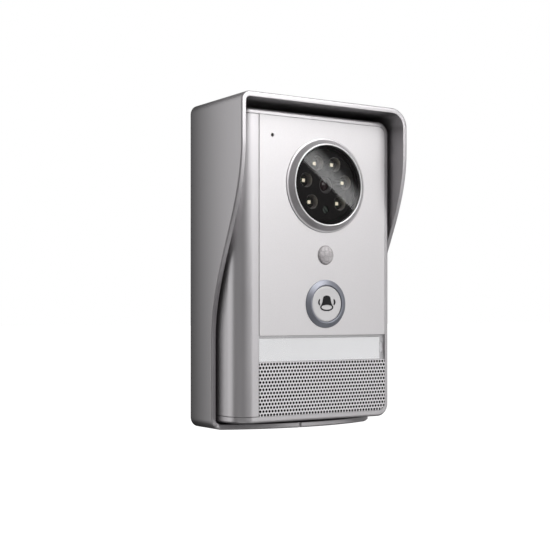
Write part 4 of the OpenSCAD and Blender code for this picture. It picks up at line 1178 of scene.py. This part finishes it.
class STATION_OT_nameplate(bpy.types.Operator):
    """Models the nameplate: a clear cover with its border and clips, over a white card."""
    bl_idname = "station.nameplate"
    bl_label = "Nameplate"

    def execute(self, context):
        border = context.scene.station_front.name_border
        low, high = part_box("nameplate_window")
        web = depths_of("front_panel")[0]
        self.cover(low, high, web, border)
        card = slab("name_paper", (low.x + 0.35 * MM, high.x - 2.5 * MM), depths_of("name_card")[0],
                    web + 0.12 * MM, (low.z + 0.3 * MM, high.z - border))
        soften(card, 0.04 * MM)
        finish_piece(card, "station", self.card_painted_light(), "white_card", "name_card")
        return {"FINISHED"}

    def cover(self, low, high, web, border):
        """The clear cover with a pressed border, its two clips, and two tabs at its right end."""
        back, face = depths_of("nameplate_window")
        middle = (low.z + high.z) / 2
        cover = slab("name_pane", (low.x, high.x), web + 0.15 * MM, face, (low.z, high.z))
        notch_half, notch_length = 2 * MM, 2.45 * MM
        combine(cover, slab("tool", (high.x - notch_length, high.x + OVERCUT), web - OVERCUT, face + OVERCUT,
                            (middle - notch_half, middle + notch_half)))
        edit(cover)
        pick(cover, "FACE", lies_at(y=low.y))
        bpy.ops.mesh.inset(thickness=border * 0.45, use_even_offset=True)
        bpy.ops.mesh.inset(thickness=0.25 * MM, depth=-0.3 * MM, use_even_offset=True)
        leave()

        clip_half, clip_width = 2.5 * MM, 1.4 * MM
        frost = frosted("clip_frost", (0.72, 0.71, 0.73), 0.3)
        ends = ((low.x + 1.1 * MM, web - 0.55 * MM), (high.x - 2.4 * MM, web + 0.16 * MM))
        for i, (left, far) in enumerate(ends, 1):
            clip = slab(f"name_clip_{i}", (left, left + clip_width), back, far,
                        (middle - clip_half, middle + clip_half))
            soften(clip, 0.15 * MM)
            finish_piece(clip, "name_cover", frost, "clear_plastic")

        tab_height = 3.6 * MM
        for bottom in (low.z + 0.6 * MM, high.z - 4.2 * MM):
            combine(cover, slab("tab", (high.x - 1.5 * MM, high.x - 0.15 * MM), web + 0.3 * MM, face,
                                (bottom, bottom + tab_height)), "UNION")
        soften(cover, 0.08 * MM)
        glassy = clear("name_clear", (0.9, 0.91, 0.93, 1), 0.1, 0.04, 1.45)
        finish_piece(cover, "name_cover", glassy, "clear_plastic", "nameplate_window")

    def card_painted_light(self):
        """White card with a faint, even emission: painted light that brightens it."""
        finish = Finish("card_white")
        fibre = finish.noise(300.0, detail=1.0)
        return finish.surface(
            Base_Color=finish.mix(fibre, (0.868, 0.867, 0.875, 1), (0.88, 0.879, 0.887, 1)),
            Roughness=0.6,
            Specular_IOR_Level=0.3,
            # Painted light: the card gives a little light of its own.
            Emission_Color=(1, 1, 1, 1),
            Emission_Strength=0.1)


class STATION_OT_inner(bpy.types.Operator):
    """Gives every piece that keeps its CAD shape a finish of its own."""
    bl_idname = "station.inner"
    bl_label = "Remaining pieces"

    def execute(self, context):
        colours = context.scene.station_colours
        finishes = {
            self.perforated(context, colours.plate): ["speaker_grille"],
            painted("case_grey", (0.34, 0.34, 0.36), 0.3, 0.45): ["rear_case"],
            metal("bracket_zinc", (0.58, 0.59, 0.62), 0.4, (1, 1, 12)): ["wall_bracket"],
            metal("steel", (0.6, 0.61, 0.63), 0.32): [
                "lock_screw", "case_screws", "camera_screws", "control_screws", "board_screws",
                "terminal_screws", "speaker_frame", "pir_sensor"],
            moulded("capsule_cloth", (0.006, 0.006, 0.006), 0.8, 0.1): ["microphone"],
            moulded("seal_rubber", (0.014, 0.014, 0.015), 0.7, 0.25, 0.02 * MM): [
                "case_seal", "window_gasket", "speaker_gasket", "mic_boot", "cable_grommet"],
            circuit("board_green", colours.board): [
                "led_board", "camera_board", "control_board", "backlight_board", "main_board"],
            moulded("black_moulded", (0.018, 0.018, 0.019), 0.42): ["lens_holder", "switch_body", "processor"],
            moulded("sensor_chip", (0.03, 0.04, 0.09), 0.18): ["image_sensor"],
            frosted("silicone", (0.8, 0.8, 0.76)): ["return_dome"],
            moulded("plunger_grey", (0.12, 0.12, 0.12), 0.35): ["switch_plunger"],
            frosted("guide_acrylic", (0.9, 0.92, 0.95), 0.12): ["light_guide"],
            frosted("lamp_yellow", (0.93, 0.85, 0.5), 0.25): ["backlight_leds"],
            woven("grille_weave", (0.012, 0.012, 0.013)): ["grille_cloth"],
            moulded("cone_paper", (0.03, 0.03, 0.03), 0.85, 0.2, 0.03 * MM): ["speaker_cone"],
            moulded("ferrite", (0.07, 0.07, 0.075), 0.5, 0.5, 0.02 * MM): ["speaker_magnet"],
            moulded("component_blue", (0.05, 0.06, 0.12), 0.35): ["board_parts"],
            moulded("connector_ivory", (0.78, 0.74, 0.62), 0.45): ["board_connectors"],
            moulded("terminal_green", (0.03, 0.3, 0.13), 0.42): ["terminal_block"],
        }
        for finish, nodes in finishes.items():
            for node in nodes:
                piece = frame["nodes"][node]
                piece.data.materials.clear()
                piece.data.materials.append(finish)
        return {"FINISHED"}

    def perforated(self, context, colour):
        """Satin metal with painted shade: black in a ring round each of its holes, which stand in staggered
        rows.
        """
        front, shell = context.scene.station_front, context.scene.station_shell
        low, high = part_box("speaker_grille")
        per_pitch = 1 / front.hole_pitch
        edge, blur = front.hole_shade_radius / front.hole_pitch, 0.03
        first_x = low.x - shell.seam / 2 + front.hole_inset
        first_z = high.z + shell.seam / 2 - front.hole_drop
        finish = Finish("grille_satin")
        down = (first_z - finish.part(finish.place, "Z")) * per_pitch
        row = finish.maths("ROUND", down)
        stagger = (1.0 - finish.maths("MODULO", row, 2.0)) * 0.5
        along = (finish.part(finish.place, "X") - first_x) * per_pitch - stagger
        off_x = along - finish.maths("ROUND", along)
        off_z = down - row
        away = finish.maths("SQRT", off_x * off_x + off_z * off_z)
        # Painted shade: the base colour goes black out to this radius, wider than the hole itself.
        solid = finish.ramp(away, edge - blur, edge + blur)
        grain = finish.noise(2600.0, detail=3.0, roughness=0.6)
        satin = finish.mix(grain, shaded(colour, 1.05), shaded(colour, 1.16))
        return finish.surface(
            Base_Color=finish.mix(solid, (0.004, 0.004, 0.004, 1), satin),
            Metallic=solid * 0.55,
            Roughness=0.75 - solid * 0.38 + grain * 0.08,
            Specular_IOR_Level=0.3)


class STATION_OT_stage(bpy.types.Operator):
    """Sets up the floor, the soft lights and the camera."""
    bl_idname = "station.stage"
    bl_label = "Stage"

    def execute(self, context):
        stage = context.scene.station_stage
        clear_selection()
        bpy.ops.mesh.primitive_plane_add(size=60, location=(0, 0, stage.floor_height))
        floor = settle("studio_floor")
        floor.data.materials.append(self.pale())
        floor.visible_diffuse = False
        floor.visible_glossy = False
        self.world(context)
        self.lamps()
        self.card()
        bpy.ops.object.camera_add(
            location=stage.camera_place, rotation=(math.pi / 2, 0, stage.camera_turn))
        camera = bpy.context.object
        camera.data.lens = stage.lens
        camera.data.shift_y = stage.rise
        camera.data.clip_start = 0.01
        context.scene.camera = camera
        context.scene.view_settings.view_transform = "Standard"
        return {"FINISHED"}

    def pale(self):
        """The floor's even white."""
        finish = Finish("floor_white")
        cloud = finish.noise(0.5)
        return finish.surface(
            Base_Color=finish.mix(cloud, (0.93, 0.93, 0.93, 1), (0.95, 0.95, 0.95, 1)),
            Roughness=0.9,
            Emission_Color=(1, 1, 1, 1),
            Emission_Strength=1.0)

    def card(self):
        """A slanting bright card that only shows as a reflection in the camera's window."""
        high_end, low_end = Vector((0.432, -0.7, 0.1619)), Vector((0.5285, -0.7, 0.091))
        width = 30 * MM
        along = (low_end - high_end).normalized()
        across = Vector((-along.z, 0, along.x))
        across *= 1 if across.z > 0 else -1
        corners = {
            (-1, -1): high_end,
            (1, -1): low_end,
            (1, 1): low_end + across * width,
            (-1, 1): high_end + across * width,
        }
        clear_selection()
        bpy.ops.mesh.primitive_plane_add(size=1)
        card = settle("reflection_card")
        edit(card)
        for (side, end), place in corners.items():
            corner = Vector((side / 2, end / 2, 0))
            pick(card, "VERT", lambda vert: (vert.co - corner).length < SLACK)
            bpy.ops.transform.translate(value=place - corner)
        leave()
        card.data.materials.append(self.card_light(high_end, across / width))
        card.visible_camera = False
        card.visible_diffuse = False
        card.visible_shadow = False

    def card_light(self, start, across):
        """Light that is even near the card's lower edge and fades out towards its upper one."""
        finish = Finish("card_light")
        reach = (finish.part(finish.place, "X") - start.x) * across.x \
            + (finish.part(finish.place, "Z") - start.z) * across.z
        fade = 1.0 - finish.ramp(reach, 0.4, 1.0)
        return finish.surface(
            Base_Color=(0, 0, 0, 1),
            Roughness=1.0,
            Specular_IOR_Level=0.0,
            Emission_Color=finish.mix(fade, (0, 0, 0, 1), (1, 1, 1, 1)),
            Emission_Strength=6.0)

    def world(self, context):
        """White where the camera looks, and dim round the object, with more light from above."""
        world = bpy.data.worlds.new("studio")
        context.scene.world = world
        world.use_nodes = True
        nodes, links = world.node_tree.nodes, world.node_tree.links
        nodes.clear()
        output = nodes.new("ShaderNodeOutputWorld")
        mixer = nodes.new("ShaderNodeMixShader")
        path = nodes.new("ShaderNodeLightPath")
        room = nodes.new("ShaderNodeBackground")
        paper = nodes.new("ShaderNodeBackground")
        where = nodes.new("ShaderNodeTexCoord")
        split = nodes.new("ShaderNodeSeparateXYZ")
        height = nodes.new("ShaderNodeMapRange")
        ranges = {"From Min": -0.6, "From Max": 0.6, "To Min": 0.04, "To Max": 0.2}
        for name, value in ranges.items():
            height.inputs[name].default_value = value
        room.inputs["Color"].default_value = (1.0, 0.985, 0.995, 1)
        paper.inputs["Color"].default_value = (1, 1, 1, 1)
        links.new(where.outputs["Generated"], split.inputs[0])
        links.new(split.outputs["Z"], height.inputs["Value"])
        links.new(height.outputs[0], room.inputs["Strength"])
        links.new(path.outputs["Is Camera Ray"], mixer.inputs["Fac"])
        links.new(room.outputs[0], mixer.inputs[1])
        links.new(paper.outputs[0], mixer.inputs[2])
        links.new(mixer.outputs[0], output.inputs["Surface"])

    def lamps(self):
        """Soft boxes: place, point that they face, width, height, watts."""
        boxes = {
            "key": ((0.18, -0.55, 0.42), (0.0, -0.03, 0.02), 0.5, 0.5, 3.6),
            "low_front": ((0.28, -0.45, -0.62), (0.0, -0.03, -0.05), 0.5, 0.3, 0.3),
            "side_near": ((0.325, -0.7, 0.0), (0.0, -0.03, 0.0), 0.17, 0.55, 0.4),
            "side_low": ((0.485, -0.7, -0.15), (0.0, -0.03, 0.0), 0.12, 0.34, 0.1),
            "right": ((0.62, -0.42, -0.15), (0.03, -0.03, -0.03), 0.3, 0.4, 0.25),
            "bounce": ((-0.13, -0.13, -0.19), (-0.045, -0.02, -0.07), 0.15, 0.15, 0.03),
            "back": ((0.5, 0.6, 0.05), (0.0, 0.0, 0.0), 0.5, 0.5, 1.6),
            "left_front": ((-0.1, -0.85, 0.05), (0.0, -0.03, 0.0), 0.25, 0.6, 0.12),
            "left_dim": ((-0.62, -0.34, 0.0), (0.0, -0.03, 0.0), 0.4, 0.7, 0.1),
            "left_strip": ((-0.16, 0.058, 0.02), (-0.045, -0.02, 0.0), 0.16, 0.34, 0.14),
        }
        for name, (place, target, width, height, watts) in boxes.items():
            place, target = Vector(place), Vector(target)
            bpy.ops.object.light_add(type="AREA", location=place)
            lamp = bpy.context.object
            lamp.name = name
            lamp.rotation_euler = (target - place).to_track_quat("-Z", "Y").to_euler()
            lamp.data.shape = "RECTANGLE"
            lamp.data.size = width
            lamp.data.size_y = height
            lamp.data.energy = watts
            lamp.visible_camera = False


class STATION_PT_panel(bpy.types.Panel):
    """Lists the pieces in the 3D view's sidebar."""
    bl_idname = "STATION_PT_panel"
    bl_label = "Door station"
    bl_space_type = "VIEW_3D"
    bl_region_type = "UI"
    bl_category = "Door station"

    def draw(self, context):
        layout = self.layout
        for operator in OPERATORS:
            layout.operator(operator.bl_idname)
        for name in SETTINGS:
            group = getattr(context.scene, name)
            box = layout.box()
            for field in group.bl_rna.properties.keys():
                if field not in ("rna_type", "name"):
                    box.prop(group, field)


OPERATORS = (STATION_OT_hood, STATION_OT_housing, STATION_OT_plates, STATION_OT_camera, STATION_OT_motion,
             STATION_OT_button, STATION_OT_nameplate, STATION_OT_inner, STATION_OT_stage)
SETTINGS = {
    "station_shell": StationShellSettings,
    "station_front": StationFrontSettings,
    "station_colours": StationColourSettings,
    "station_stage": StationStageSettings,
}


def register():
    for part in (*SETTINGS.values(), *OPERATORS, STATION_PT_panel):
        bpy.utils.register_class(part)
    for name, group in SETTINGS.items():
        setattr(bpy.types.Scene, name, PointerProperty(type=group))


def unregister():
    for name in SETTINGS:
        delattr(bpy.types.Scene, name)
    for part in reversed((*SETTINGS.values(), *OPERATORS, STATION_PT_panel)):
        bpy.utils.unregister_class(part)


def main():
    register()
    bpy.ops.station.hood()
    bpy.ops.station.housing()
    bpy.ops.station.plates()
    bpy.ops.station.camera()
    bpy.ops.station.motion()
    bpy.ops.station.button()
    bpy.ops.station.nameplate()
    bpy.ops.station.inner()
    bpy.ops.station.stage()


if __name__ == "__main__":
    main()
